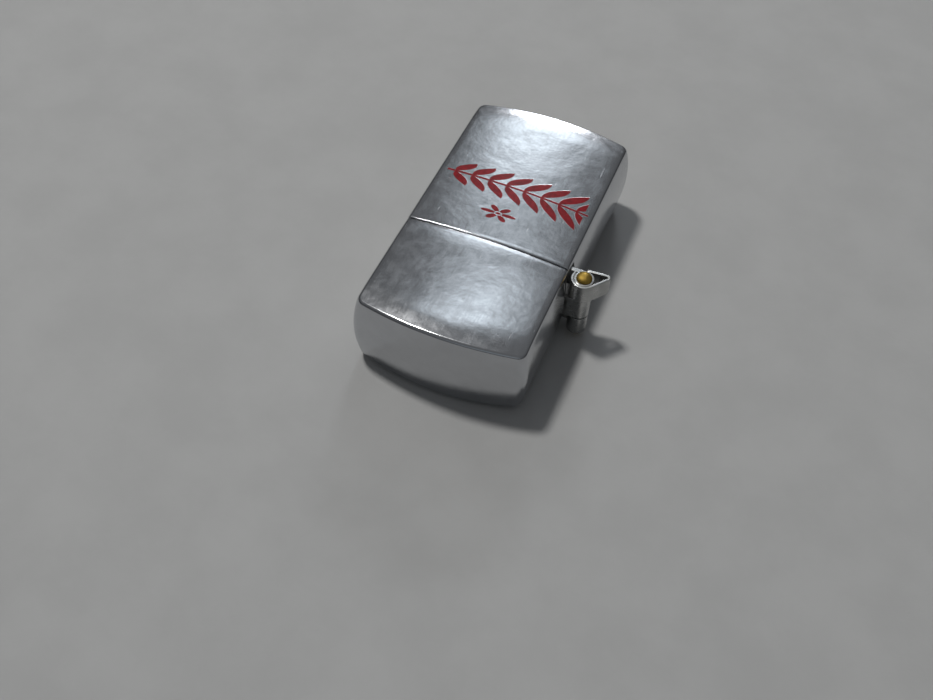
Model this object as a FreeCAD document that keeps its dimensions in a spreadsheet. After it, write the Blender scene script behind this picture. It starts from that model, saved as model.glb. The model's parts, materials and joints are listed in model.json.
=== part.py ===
import FreeCAD, Part

import math
import os
import re

import Sketcher

# Miniature flip-top petrol lighter, lying on its back with the lid shut.
# X runs across the case with the hinge at +X, Y along it with the lid at -Y, Z out of the front face.
# The model is drawn with the seam at Y = 0 and the case centred on X = 0; every finished piece is then
# placed so that the origin is the centre of the whole object's footprint.

SIZES = {
    # outer case
    "case_width": 21.0,        # between the crisp edges of the front face
    "edge_thickness": 10.0,    # between the crisp edges of front and back
    "crown": 0.6,              # rise of the front and back faces over their edges
    "side_bulge": 0.6,         # how far a side wall swells at mid thickness
    "end_bulge": 0.5,          # the same for the two end walls
    "body_length": 23.9,       # seam to bottom, at the corners
    "body_arch": 0.9,          # how much further the bottom reaches at its middle
    "lid_length": 14.6,        # seam to top, at the corners
    "lid_arch": 1.6,
    "case_wall": 0.5,
    "seam_gap": 0.12,
    "corner_radius": 0.9,      # corners seen from the front
    "edge_radius": 0.35,       # edges round the front and back faces
    "rim_radius": 0.12,        # edges of the two rims at the seam
    # hinge
    "pin_offset": 2.1,         # pin axis beyond the case's crisp edge
    "pin_radius": 0.62,
    "pin_head_radius": 0.98,
    "pin_head_height": 0.6,
    "pin_tail_height": 0.25,
    "knuckle_radius": 1.25,
    "knuckle_gap": 0.2,
    "lower_knuckle": 2.7,      # length along the pin; the middle one fills what is left
    "upper_knuckle": 2.6,
    "barrel_start": 0.95,      # height of the barrel's lower end
    "barrel_headroom": 1.3,    # from its upper end to the level of the front face
    "lid_pin_clearance": 0.04,
    "leaf_thickness": 0.25,
    "leaf_length": 7.5,
    "leaf_margin": 0.6,        # leaf ends short of the barrel's ends
    "leaf_start": 0.1,         # and of the rim
    "neck_thickness": 0.4,     # strip that joins a leaf to its knuckles
    "neck_seat": 0.08,         # how deep it sits in the leaf
    "notch_clearance": 0.27,   # between the barrel and the notches in both rims
    "notch_margin": 0.25,      # the same at the barrel's ends
    # key-ring lug
    "strap_thickness": 0.34,
    "lug_reach": 2.45,         # pin axis to the tip's centre, across the case
    "lug_rise": 1.3,           # and along the case
    "lug_tip_radius": 0.3,
    "eye_reach": 2.2,          # pin axis to the narrow end of the eye, across the case
    "eye_tip_radius": 0.13,
    # insert
    "insert_clearance": 0.15,
    "insert_wall": 0.35,
    "insert_side_gap": 0.42,   # between insert and side wall, where the leaves lie
    "insert_rise": 0.8,        # how far the insert stands out of the body
    "insert_end_gap": 1.6,     # room under it for the screw head
    "tube_setback": 0.3,       # the flint tube ends short of the insert
    "insert_bulge": 0.05,
    "top_plate": 0.4,
    # chimney
    "chimney_setback": 0.95,   # its front and back walls inside those of the insert
    "chimney_headroom": 1.8,   # to the inside of the lid's end
    "chimney_sheet": 0.4,
    "chimney_corner": 1.2,
    "vent_radius": 0.62,
    "vent_pitch": 2.0,
    "vent_first": 4.2,         # first row of vents above the top plate
    "cheek_margin": 1.1,       # wheel cheeks beyond the axle, across the case
    "cheek_top": 1.6,          # and above it
    "cam_cheek_top": 1.9,
    "cheek_corner": 1.2,
    "spark_window": 4.4,
    # striking wheel and flint
    "wheel_inset": 3.18,       # wheel centre inside the insert's side
    "wheel_gap": 0.3,          # wheel's rim to the chimney
    "wheel_side_gap": 0.3,     # wheel's faces to the cheeks
    "wheel_rise": 5.8,         # wheel centre above the insert's top
    "wheel_radius": 2.3,
    "wheel_teeth": 30.0,
    "tooth_depth": 0.16,
    "tooth_angle": 71.0,       # between the flanks of a serration
    "axle_radius": 0.5,
    "running_clearance": 0.04,
    "rivet_head_radius": 0.85,
    "rivet_head_height": 0.3,
    "leaf_rivet_radius": 0.4,
    "leaf_rivet_head": 0.75,
    "leaf_rivet_setback": 1.2,  # from the free end of the leaf spring's upright
    "flint_radius": 0.75,
    "flint_length": 2.6,
    "flint_gap": 0.06,
    "tube_radius": 1.2,
    "tube_bore": 0.86,
    "tube_rise": 2.2,          # tube above the insert's top
    "plug_length": 0.8,
    "plug_clearance": 0.06,
    "spring_clearance": 0.08,
    "spring_end_gap": 0.05,
    "screw_clearance": 0.03,
    "spring_wire": 0.24,
    "spring_turns": 12.0,
    "screw_length": 3.4,
    "screw_head_radius": 1.9,
    "screw_head_height": 0.8,
    "screw_slot": 0.45,
    # cam
    "cam_inset": 2.83,         # cam pivot inside the insert's side
    "cam_gap": 0.3,            # cam's hub to the chimney
    "cam_rise": 2.5,           # cam pivot above the insert's top
    "cam_width": 1.8,
    "cam_radius": 1.25,
    "cam_reach": 1.76,         # pivot to the lobe's round end, across the case
    "cam_lobe_rise": 1.29,     # and away from the insert
    "cam_lobe_radius": 0.475,
    "cam_foot_width": 1.7,
    "cam_foot_depth": 0.4,     # the foot's flat below the top plate
    "cam_slot_margin": 0.6,    # slot in the top plate beyond the foot, across the case
    "cam_side_gap": 0.2,       # and along the pin
    "cam_spring_thickness": 0.2,
    "cam_spring_width": 2.2,
    "cam_spring_length": 7.0,
    "cam_spring_gap": 0.3,
    # fuel side
    "wick_radius": 1.0,
    "wick_top": 7.0,           # above the insert's top
    "wick_depth": 13.0,        # below it
    "wick_clearance": 0.15,
    "felt_thickness": 2.4,
    "felt_setback": 0.5,
    "felt_clearance": 0.1,
    "packing_gap": 0.3,
    # drawing aids
    "overshoot": 1.0,          # how far a cut runs past what it cuts
}

# worked out from the sizes above
DERIVED = {
    "case_half": "case_width / 2",
    "edge_half": "edge_thickness / 2",
    "mid_z": "edge_half + crown",
    "full_thickness": "2 * mid_z",
    "pin_x": "case_half + pin_offset",
    "inner_half": "case_half - case_wall",
    "insert_half": "inner_half - insert_side_gap",
    "insert_edge_half": "edge_half - case_wall - insert_clearance",
    "insert_end": "body_length - case_wall - insert_end_gap",
    "barrel_end": "full_thickness - barrel_headroom",
    "middle_start": "barrel_start + lower_knuckle + knuckle_gap",
    "upper_start": "barrel_end - upper_knuckle",
    "middle_knuckle": "upper_start - knuckle_gap - middle_start",
    "strap_radius": "knuckle_radius + strap_thickness",
    "notch_length": "strap_radius + notch_clearance",
    "eye_rise": "lug_rise * eye_reach / lug_reach",
    "wheel_x": "wheel_inset - insert_half",
    "cam_x": "insert_half - cam_inset",
    "chimney_left": "wheel_x + wheel_radius + wheel_gap",
    "chimney_right": "cam_x - cam_radius - cam_gap",
    "chimney_center": "(chimney_left + chimney_right) / 2",
    "chimney_depth": "2 * (insert_edge_half - chimney_setback)",
    "chimney_height": "lid_length - case_wall - chimney_headroom - insert_rise",
    "wheel_width": "chimney_depth - 2 * (chimney_sheet + wheel_side_gap)",
    "deck_y": "-insert_rise",
    "wheel_y": "deck_y - wheel_rise",
    "cam_y": "deck_y - cam_rise",
    "flint_top": "wheel_y + wheel_radius + flint_gap",
    "flint_end": "flint_top + flint_length",
    "plug_end": "flint_end + plug_length",
    "tube_end": "insert_end - tube_setback",
    "screw_start": "tube_end - screw_length",
    "foot_y": "deck_y + top_plate + cam_foot_depth",
    "leaf_rivet_y": "cam_spring_length - leaf_rivet_setback",
    "lug_tip": "lug_tip_radius + strap_thickness / 2",
    "lug_tip_x": "pin_x + lug_reach + lug_tip",
    "frame_x": "(case_half + side_bulge - lug_tip_x) / 2",
    "frame_y": "(lid_length + lid_arch - body_length - body_arch) / 2",
}

doc = FreeCAD.newDocument("lighter")
sheet = doc.addObject("Spreadsheet::Sheet", "Sizes")
for row, (alias, value) in enumerate(SIZES.items(), start=1):
    sheet.set(f"A{row}", alias)
    sheet.set(f"B{row}", str(value))
    sheet.setAlias(f"B{row}", alias)
doc.recompute()

NAMES = set(SIZES) | set(DERIVED)
for row, (alias, text) in enumerate(DERIVED.items(), start=len(SIZES) + 1):
    sheet.set(f"A{row}", alias)
    sheet.set(f"B{row}", "=" + text)
    sheet.setAlias(f"B{row}", alias)
doc.recompute()

FINISHED = []
SIDE_Y = FreeCAD.Rotation(FreeCAD.Vector(1, 0, 0), -90)    # turns a primitive's Z axis to +Y
SIDE_X = FreeCAD.Rotation(FreeCAD.Vector(0, 1, 0), 90)     # and to +X


def formula(text):
    """Put the sheet's name in front of every alias in a formula."""
    return re.sub(r"[a-z_]\w*", lambda m: "Sizes." + m[0] if m[0] in NAMES else m[0], str(text))


def size(alias):
    """The present value of one cell."""
    return float(sheet.get(alias))


def bind(obj, **formulas):
    for prop, text in formulas.items():
        obj.setExpression(prop.replace("__", "."), formula(text))
    return obj


def place(obj, x="0", y="0", z="0", turn=None):
    if turn is not None:
        obj.Placement = FreeCAD.Placement(FreeCAD.Vector(), turn)
    return bind(obj, Placement__Base__x=x, Placement__Base__y=y, Placement__Base__z=z)


def box(name, x, y, z):
    """A block given by its (low, high) formulas along each axis."""
    block = doc.addObject("Part::Box", name)
    for prop, (low, high) in (("Length", x), ("Width", y), ("Height", z)):
        bind(block, **{prop: f"({high}) - ({low})"})
    return place(block, x[0], y[0], z[0])


def rod(name, radius, length, x, y, z, turn=None):
    cylinder = doc.addObject("Part::Cylinder", name)
    bind(cylinder, Radius=radius, Height=length)
    return place(cylinder, x, y, z, turn)


def bar(name, radius, length, x, y):
    """A cylinder along Y at the case's mid height."""
    return rod(name, radius, length, x, y, "mid_z", SIDE_Y)


def past(low, high):
    """A range for a cut that runs past both ends of what it cuts."""
    return f"{low} - overshoot", f"{high} + overshoot"


def join(name, *pieces):
    fused = doc.addObject("Part::MultiFuse", name)
    fused.Shapes = list(pieces)
    fused.Refine = True
    return fused


def cut(name, base, *tools):
    tool = tools[0] if len(tools) == 1 else join(name + "_tools", *tools)
    result = doc.addObject("Part::Cut", name)
    result.Base = base
    result.Tool = tool
    result.Refine = True
    return result


def overlap(name, *pieces):
    common = doc.addObject("Part::MultiCommon", name)
    common.Shapes = list(pieces)
    return common


def finish(obj, label):
    """Name a finished piece and bring it into the object's own frame."""
    obj.Label = label
    held = dict(obj.ExpressionEngine)
    for axis, start, shift in zip("xy", obj.Placement.Base, ("frame_x", "frame_y")):
        text = held.get(f".Placement.Base.{axis}", str(start))
        obj.setExpression(f"Placement.Base.{axis}", f"{text} + Sizes.{shift}")
    FINISHED.append(obj)
    return obj


# ---------------------------------------------------------------- sketches

def value_of(text):
    """The value that a formula has with the sheet as it is."""
    return float(sheet.evalExpression(formula(text)))


def new_sketch(body, name, plane, x="0", y="0", z="0"):
    """A sketch on one of the body's own origin planes, shifted along the plane's axes."""
    sketch = body.newObject("Sketcher::SketchObject", name)
    role = next(item for item in body.Origin.OriginFeatures if item.Role == plane)
    sketch.AttachmentSupport = [(role, "")]
    sketch.MapMode = "FlatFace"
    return bind(sketch, AttachmentOffset__Base__x=x, AttachmentOffset__Base__y=y,
                AttachmentOffset__Base__z=z)


def constrain(sketch, kind, geometry, text):
    """Add one dimension whose value follows a formula."""
    index = sketch.addConstraint(Sketcher.Constraint(kind, *geometry, value_of(text)))
    sketch.setExpression(f"Constraints[{index}]", formula(text))


def fix_point(sketch, geometry, x=None, y=None):
    """Hold one point of the geometry at a place measured from the sketch's origin."""
    for kind, text in (("DistanceX", x), ("DistanceY", y)):
        if text is not None:
            constrain(sketch, kind, (-1, 1, *geometry), text)


def point(x, y):
    return FreeCAD.Vector(value_of(x), value_of(y), 0)


def rise_radius(chord_half, rise):
    """Radius of the arc that rises by `rise` over a chord."""
    return f"((({chord_half}) ^ 2 + ({rise}) ^ 2) / (2 * ({rise})))"


def swollen_oblong(body, name, half, edge_half, crown, bulge, y):
    """Section of a case: four arcs that meet at four crisp corners, centred on its mid height."""
    sketch = new_sketch(body, name, "XZ_Plane", z=f"-({y})")
    low, high = f"mid_z - ({edge_half})", f"mid_z + ({edge_half})"
    corners = [(f"-({half})", low), (half, low), (half, high), (f"-({half})", high)]
    tops = [("0", f"{low} - ({crown})"), (f"{half} + ({bulge})", "mid_z"),
            ("0", f"{high} + ({crown})"), (f"-({half}) - ({bulge})", "mid_z")]
    radii = [rise_radius(half, crown), rise_radius(edge_half, bulge)] * 2
    for index in range(4):
        arc = Part.Arc(point(*corners[index]), point(*tops[index]), point(*corners[(index + 1) % 4]))
        sketch.addGeometry(arc, False)
    for index in range(4):
        sketch.addConstraint(Sketcher.Constraint("Coincident", index, 2, (index + 1) % 4, 1))
        fix_point(sketch, (index, 1), *corners[index])
        constrain(sketch, "Radius", (index,), radii[index])
    return sketch


def prism(name, half, edge_half, crown, bulge, y):
    """A straight length of that section between two places along the case."""
    body = doc.addObject("PartDesign::Body", name)
    pad = body.newObject("PartDesign::Pad", name + "_pad")
    body.Tip = pad
    pad.Profile = swollen_oblong(body, name + "_section", half, edge_half, crown, bulge, y[0])
    pad.Reversed = True
    bind(pad, Length=f"({y[1]}) - ({y[0]})")
    return body


def capsule(name, first, first_radius, second, second_radius, z):
    """A plate whose outline is two round ends of different size joined by their tangents."""
    body = doc.addObject("PartDesign::Body", name)
    sketch = new_sketch(body, name + "_outline", "XY_Plane", z=z[0])
    a, b = point(*first), point(*second)
    ra, rb = value_of(first_radius), value_of(second_radius)
    heading = math.atan2(b.y - a.y, b.x - a.x)
    lean = math.acos((ra - rb) / a.distanceToPoint(b))
    up, down = heading + lean, heading - lean
    spoke = {angle: FreeCAD.Vector(math.cos(angle), math.sin(angle), 0) for angle in (up, down)}
    normal = FreeCAD.Vector(0, 0, 1)
    sketch.addGeometry(Part.ArcOfCircle(Part.Circle(a, normal, ra), up, down + 2 * math.pi), False)
    sketch.addGeometry(Part.LineSegment(a + spoke[down] * ra, b + spoke[down] * rb), False)
    sketch.addGeometry(Part.ArcOfCircle(Part.Circle(b, normal, rb), down, up), False)
    sketch.addGeometry(Part.LineSegment(b + spoke[up] * rb, a + spoke[up] * ra), False)
    for index in range(4):
        sketch.addConstraint(Sketcher.Constraint("Tangent", index, 2, (index + 1) % 4, 1))
    fix_point(sketch, (0, 3), *first)
    fix_point(sketch, (2, 3), *second)
    constrain(sketch, "Radius", (0,), first_radius)
    constrain(sketch, "Radius", (2,), second_radius)
    pad = body.newObject("PartDesign::Pad", name + "_pad")
    body.Tip = pad
    pad.Profile = sketch
    bind(pad, Length=f"({z[1]}) - ({z[0]})")
    return body


def round_edges(body, name, chosen, radius):
    """Fillet the edges of the body's tip that pass a test."""
    doc.recompute()
    tip = body.Tip
    names = [f"Edge{i}" for i, edge in enumerate(tip.Shape.Edges, start=1) if chosen(edge)]
    if not names:
        raise RuntimeError(f"no edges found for {name}")
    fillet = body.newObject("PartDesign::Fillet", name)
    fillet.Base = (tip, names)
    bind(fillet, Radius=radius)
    body.Tip = fillet
    return fillet


# ---------------------------------------------------------------- outer case

HALVES = {"body": ("body_length", "body_arch", 1), "lid": ("lid_length", "lid_arch", -1)}


def case_form(name, half_name, inset, start):
    """One half of the case as a solid: the swollen section, ended by a wall arched both ways."""
    length, arch, side = HALVES[half_name]
    half, edge_half = f"case_half - ({inset})", f"edge_half - ({inset})"
    reach = f"{length} + {arch} + end_bulge + overshoot"
    y = (start, reach) if side > 0 else (f"-({reach})", f"-({start})")
    body = prism(name, half, edge_half, "crown", "side_bulge", y)
    plan_radius = rise_radius("case_half", arch)
    end_radius = rise_radius("edge_half", "end_bulge")
    middle = f"{side} * ({length} + {arch} - {plan_radius})"
    sketch = new_sketch(body, name + "_end", "YZ_Plane", x=middle)
    center = f"{side} * ({plan_radius} + end_bulge - {end_radius})"
    wall = f"{end_radius} - ({inset})"
    outside = f"{side} * ({plan_radius} + {arch} + end_bulge + 2 * overshoot)"
    low, high = "-overshoot", "full_thickness + overshoot"
    first, last = (low, high) if side > 0 else (high, low)
    shift = f"({side} * sqrt(({wall}) ^ 2 - (mid_z + overshoot) ^ 2))"
    near = f"{center} + {shift}"
    farthest = f"{center} + {side} * ({wall})"
    arc = Part.Arc(point(near, first), point(farthest, "mid_z"), point(near, last))
    sketch.addGeometry(arc, False)
    for ends in (((near, last), (outside, last)), ((outside, last), (outside, first)),
                 ((outside, first), (near, first))):
        sketch.addGeometry(Part.LineSegment(point(*ends[0]), point(*ends[1])), False)
    for index in range(4):
        sketch.addConstraint(Sketcher.Constraint("Coincident", index, 2, (index + 1) % 4, 1))
    for index, kind in ((1, "Horizontal"), (2, "Vertical"), (3, "Horizontal")):
        sketch.addConstraint(Sketcher.Constraint(kind, index))
    fix_point(sketch, (0, 3), center, "mid_z")
    constrain(sketch, "Radius", (0,), wall)
    fix_point(sketch, (0, 1), y=first)
    fix_point(sketch, (0, 2), y=last)
    fix_point(sketch, (1, 2), x=outside)
    doc.recompute()
    before = body.Shape.Volume
    groove = body.newObject("PartDesign::Groove", name + "_end_cut")
    body.Tip = groove
    groove.Profile = sketch
    groove.ReferenceAxis = (sketch, ["V_Axis"])
    groove.Angle = 360
    doc.recompute()
    if not 0 < body.Shape.Volume < before:
        raise RuntimeError(f"{name}: the end cut removed nothing")
    corner = size("edge_half")
    far = size(length) / 2
    round_edges(body, name + "_corners",
                lambda edge: edge.BoundBox.ZLength > corner and side * edge.BoundBox.Center.y > far,
                f"corner_radius - ({inset})")
    return body


def case_outside(half_name):
    side = HALVES[half_name][2]
    body = case_form(half_name + "_outside", half_name, "0", "seam_gap / 2")
    seam = side * size("seam_gap") / 2
    mid, level = size("mid_z"), size("edge_half") / 2

    def on_seam(edge):
        return edge.BoundBox.YLength < 1e-4 and abs(edge.BoundBox.Center.y - seam) < 1e-4

    def round_face(edge):
        return abs(edge.BoundBox.Center.z - mid) > level and not on_seam(edge)

    round_edges(body, half_name + "_face_edges", round_face, "edge_radius")
    round_edges(body, half_name + "_rim", on_seam, "rim_radius")
    return body


def hinge_notch(half_name):
    side = HALVES[half_name][2]
    y = ("-overshoot", "notch_length") if side > 0 else ("-notch_length", "overshoot")
    return box(half_name + "_notch", ("inner_half - overshoot", "pin_x + overshoot"), y,
               ("barrel_start - notch_margin", "barrel_end + notch_margin"))


cavities = {}
for half_name in HALVES:
    cavities[half_name] = case_form(half_name + "_cavity", half_name, "case_wall", "-overshoot")
    shell = cut(half_name + "_case", case_outside(half_name), cavities[half_name],
                hinge_notch(half_name))
    finish(shell, half_name + "_shell")


# ---------------------------------------------------------------- hinge

def knuckle(name, start, length):
    return rod(name, "knuckle_radius", length, "pin_x", "0", start)


def hinge_leaf(half_name, knuckles, bore):
    """A curved leaf that lies on the inside of the side wall, with necks out to its knuckles."""
    side = HALVES[half_name][2]
    inside = case_form(half_name + "_leaf_inside", half_name, "case_wall + leaf_thickness",
                       "-2 * overshoot")
    lining = cut(half_name + "_lining", cavities[half_name], inside)
    edges = ("seam_gap / 2 + leaf_start", "leaf_length")
    y = edges if side > 0 else tuple(f"-({text})" for text in reversed(edges))
    window = box(half_name + "_leaf_window", ("case_half / 2", "pin_x"), y,
                 ("barrel_start + leaf_margin", "barrel_end - leaf_margin"))
    pieces = [overlap(half_name + "_leaf_plate", lining, window)]
    strip = ("knuckle_radius - neck_thickness", "knuckle_radius")
    strip_y = strip if side > 0 else tuple(f"-({text})" for text in reversed(strip))
    for index, (start, length) in enumerate(knuckles, start=1):
        name = f"{half_name}_knuckle_{index}"
        low = f"max({start}; barrel_start + leaf_margin)"
        high = f"min({start} + {length}; barrel_end - leaf_margin)"
        neck = box(name + "_neck", ("inner_half - neck_seat", "pin_x"), strip_y, (low, high))
        pieces += [neck, knuckle(name, start, length)]
    hole = rod(half_name + "_pin_bore", bore, "full_thickness", "pin_x", "0", "0")
    leaf = cut(half_name + "_leaf", join(half_name + "_leaf_blank", *pieces), hole)
    return finish(leaf, half_name + "_hinge_leaf")


hinge_leaf("body", [("barrel_start", "lower_knuckle"), ("upper_start", "upper_knuckle")], "pin_radius")
hinge_leaf("lid", [("middle_start", "middle_knuckle")], "pin_radius + lid_pin_clearance")


def hinge_pin():
    dome_radius = rise_radius("pin_head_radius", "pin_head_height")
    dome = doc.addObject("Part::Sphere", "pin_dome")
    bind(dome, Radius=dome_radius)
    place(dome, "pin_x", "0", f"barrel_end + pin_head_height - {dome_radius}")
    head = overlap("pin_head", dome, rod("pin_head_blank", "pin_head_radius", "pin_head_height",
                                         "pin_x", "0", "barrel_end"))
    shank = rod("pin_shank", "pin_radius", "barrel_end - barrel_start", "pin_x", "0", "barrel_start")
    tail = rod("pin_tail", "(pin_radius + knuckle_radius) / 2", "pin_tail_height", "pin_x", "0",
               "barrel_start - pin_tail_height")
    finish(join("pin", shank, tail, head), "hinge_pin")


hinge_pin()


def keyring_lug():
    """A strip folded round the upper knuckle into a pointed eye; open where the neck passes."""
    axis, tip = ("pin_x", "0"), ("pin_x + lug_reach", "lug_rise")
    eye_tip = ("pin_x + eye_reach", "eye_rise")
    z = ("upper_start", "barrel_end")
    outside = capsule("lug_outside", axis, "strap_radius", tip, "lug_tip", z)
    eye = capsule("lug_eye", axis, "knuckle_radius", eye_tip, "eye_tip_radius", z)
    gap = box("lug_gap", ("pin_x - strap_radius - overshoot", "pin_x"),
              ("knuckle_radius - neck_thickness - leaf_start", "strap_radius + overshoot"),
              past("upper_start", "barrel_end"))
    finish(cut("lug", outside, eye, gap), "keyring_lug")


keyring_lug()


# ---------------------------------------------------------------- insert

def insert_section(name, inset, y):
    half, edge_half = f"insert_half - ({inset})", f"insert_edge_half - ({inset})"
    return prism(name, half, edge_half, "crown", "insert_bulge", y)


def rivet(name, x, y, half_length):
    """A rivet along Z through two cheeks, with a head outside each."""
    shank = rod(name + "_shank", "axle_radius", f"2 * ({half_length})", x, y, f"mid_z - ({half_length})")
    heads = [rod(f"{name}_head_{index}", "rivet_head_radius", "rivet_head_height", x, y, z)
             for index, z in enumerate((f"mid_z - ({half_length}) - rivet_head_height",
                                        f"mid_z + ({half_length})"), start=1)]
    return join(name, shank, *heads)


def leaf_rivet_hole(name):
    """The hole for the leaf spring's rivet, through the tank's side wall."""
    return rod(name + "_rivet_hole", "leaf_rivet_radius", "2 * overshoot", "insert_half - overshoot",
               "leaf_rivet_y", "mid_z", SIDE_X)


def insert_case():
    outside = insert_section("insert_outside", "0", ("deck_y", "insert_end"))
    inside = insert_section("insert_inside", "insert_wall", past("deck_y", "insert_end"))
    finish(cut("insert_tube", outside, inside, leaf_rivet_hole("insert")), "insert_case")


def insert_top_plate():
    plate = insert_section("plate_blank", "insert_wall", ("deck_y", "deck_y + top_plate"))
    across = "(cam_foot_width / 2 + cam_slot_margin)"
    along = "(cam_width / 2 + cam_side_gap)"
    slot = box("cam_slot", (f"cam_x - {across}", f"cam_x + {across}"),
               past("deck_y", "deck_y + top_plate"), (f"mid_z - {along}", f"mid_z + {along}"))
    start, through = "deck_y - overshoot", "top_plate + 2 * overshoot"
    wick_hole = bar("wick_hole", "wick_radius + wick_clearance", through, "chimney_center", start)
    tube_hole = bar("tube_hole", "tube_radius", through, "wheel_x", start)
    finish(cut("plate", plate, slot, wick_hole, tube_hole), "insert_top_plate")


def chimney():
    """A folded tube with round vents, open at the top, and cheeks that carry the wheel and the cam."""
    half, sheet = "chimney_depth / 2", "chimney_sheet"
    top = "deck_y - chimney_height"

    def folded(name, inset, low, high):
        blank = box(name, (f"chimney_left + {inset}", f"chimney_right - {inset}"), (low, high),
                    (f"mid_z - {half} + {inset}", f"mid_z + {half} - {inset}"))
        doc.recompute()
        rounded = doc.addObject("Part::Fillet", name + "_rounded")
        rounded.Base = blank
        radius = value_of(f"chimney_corner - {inset}")
        rounded.Edges = [(i, radius, radius) for i, edge in enumerate(blank.Shape.Edges, start=1)
                         if edge.BoundBox.YLength > radius * 2 and edge.BoundBox.XLength < 1e-6
                         and edge.BoundBox.ZLength < 1e-6]
        return rounded

    outside = folded("chimney_outside", "0", top, "deck_y")
    inside = folded("chimney_inside", sheet, f"{top} - overshoot", "deck_y + overshoot")
    wheel_reach = ("wheel_x - cheek_margin", "chimney_left + chimney_corner")
    cam_reach = ("chimney_right - chimney_corner", "cam_x + cam_radius")
    cheeks = []
    for side, z in (("back", f"mid_z - {half}"), ("front", f"mid_z + {half} - {sheet}")):
        for name, x, height in (("wheel", wheel_reach, "wheel_rise + cheek_top"),
                                ("cam", cam_reach, "cam_rise + cam_cheek_top")):
            y = (f"deck_y - ({height})", "deck_y")
            plate = box(f"{name}_cheek_{side}", x, y, (z, f"{z} + {sheet}"))
            doc.recompute()
            rounded = doc.addObject("Part::Fillet", f"{name}_cheek_{side}_rounded")
            rounded.Base = plate
            outer = plate.Shape.BoundBox.XMin if name == "wheel" else plate.Shape.BoundBox.XMax
            upper = plate.Shape.BoundBox.YMin
            rounded.Edges = [(i, size("cheek_corner"), size("cheek_corner"))
                             for i, edge in enumerate(plate.Shape.Edges, start=1)
                             if edge.BoundBox.ZLength > 1e-6
                             and abs(edge.BoundBox.Center.x - outer) < 1e-6
                             and abs(edge.BoundBox.Center.y - upper) < 1e-6]
            cheeks.append(rounded)
    tools = [inside]
    for row, shifts in enumerate(((-1, 0, 1), (-0.5, 0.5), (-1, 0, 1))):
        for shift in shifts:
            tools.append(rod(f"vent_{row}_{len(tools)}", "vent_radius", "full_thickness",
                             f"chimney_center + {shift} * vent_pitch",
                             f"deck_y - vent_first - {row} * vent_pitch", "0"))
    window = "(chimney_depth / 2 - chimney_corner)"
    tools.append(box("spark_window", past("chimney_left", "chimney_left + chimney_sheet"),
                     ("wheel_y - spark_window / 2", "wheel_y + spark_window / 2"),
                     (f"mid_z - {window}", f"mid_z + {window}")))
    tools.append(rod("wheel_axle_hole", "axle_radius", "full_thickness", "wheel_x", "wheel_y", "0"))
    tools.append(rod("cam_rivet_hole", "axle_radius", "full_thickness", "cam_x", "cam_y", "0"))
    tube = cut("chimney_tube", outside, inside)
    finish(cut("chimney_cut", join("chimney_blank", tube, *cheeks), *tools[1:]), "chimney")


insert_case()
insert_top_plate()
chimney()
finish(rivet("axle", "wheel_x", "wheel_y", "chimney_depth / 2"), "wheel_axle")
finish(rivet("cam_pin", "cam_x", "cam_y", "chimney_depth / 2"), "cam_rivet")


def flint_wheel():
    """Striking wheel: a ring with straight serrations cut across its rim."""
    body = doc.addObject("PartDesign::Body", "wheel")
    ring = new_sketch(body, "wheel_ring", "XY_Plane", z="mid_z - wheel_width / 2")
    normal = FreeCAD.Vector(0, 0, 1)
    for index, radius in enumerate(("wheel_radius", "axle_radius + running_clearance")):
        ring.addGeometry(Part.Circle(FreeCAD.Vector(), normal, value_of(radius)), False)
        ring.addConstraint(Sketcher.Constraint("Coincident", index, 3, -1, 1))
        constrain(ring, "Radius", (index,), radius)
    pad = body.newObject("PartDesign::Pad", "wheel_pad")
    body.Tip = pad
    pad.Profile = ring
    bind(pad, Length="wheel_width")
    doc.recompute()
    before = body.Shape.Volume
    notch = new_sketch(body, "tooth_gap", "XY_Plane", z="mid_z - wheel_width / 2")
    half = "((tooth_depth + overshoot) * tan(tooth_angle / 2))"
    outer = "wheel_radius + overshoot"
    corners = [("wheel_radius - tooth_depth", "0"), (outer, f"-{half}"), (outer, half)]
    for index in range(3):
        flank = Part.LineSegment(point(*corners[index]), point(*corners[(index + 1) % 3]))
        notch.addGeometry(flank, False)
    for index in range(3):
        notch.addConstraint(Sketcher.Constraint("Coincident", index, 2, (index + 1) % 3, 1))
        if index:
            fix_point(notch, (index, 1), *corners[index])
    fix_point(notch, (0, 1), x=corners[0][0])
    notch.addConstraint(Sketcher.Constraint("PointOnObject", 0, 1, -1))
    pocket = body.newObject("PartDesign::Pocket", "tooth_cut")
    body.Tip = pocket
    pocket.Profile = notch
    pocket.Type = "ThroughAll"
    pocket.Reversed = True
    doc.recompute()
    if not 0 < body.Shape.Volume < before:
        raise RuntimeError("the wheel's serration cut removed nothing")
    pattern = body.newObject("PartDesign::PolarPattern", "teeth")
    pattern.Originals = [pocket]
    pattern.Axis = (ring, ["N_Axis"])
    pattern.Angle = 360
    pattern.Occurrences = int(size("wheel_teeth"))
    body.Tip = pattern
    place(body, "wheel_x", "wheel_y", "0")
    finish(body, "flint_wheel")


flint_wheel()


def cam_lever():
    """Snap lever: a hub, a lobe towards the lid and a flat foot that stands over the leaf spring."""
    z = ("mid_z - cam_width / 2", "mid_z + cam_width / 2")
    nose = ("cam_x + cam_reach", "cam_y - cam_lobe_rise")
    lobe = capsule("cam_lobe", ("cam_x", "cam_y"), "cam_radius", nose, "cam_lobe_radius", z)
    foot_x = ("cam_x - cam_foot_width / 2", "cam_x + cam_foot_width / 2")
    foot = box("cam_foot", foot_x, ("cam_y", "foot_y"), z)
    bore = rod("cam_bore", "axle_radius + running_clearance", "full_thickness", "cam_x", "cam_y", "0")
    finish(cut("cam", join("cam_blank", lobe, foot), bore), "cam_lever")


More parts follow.
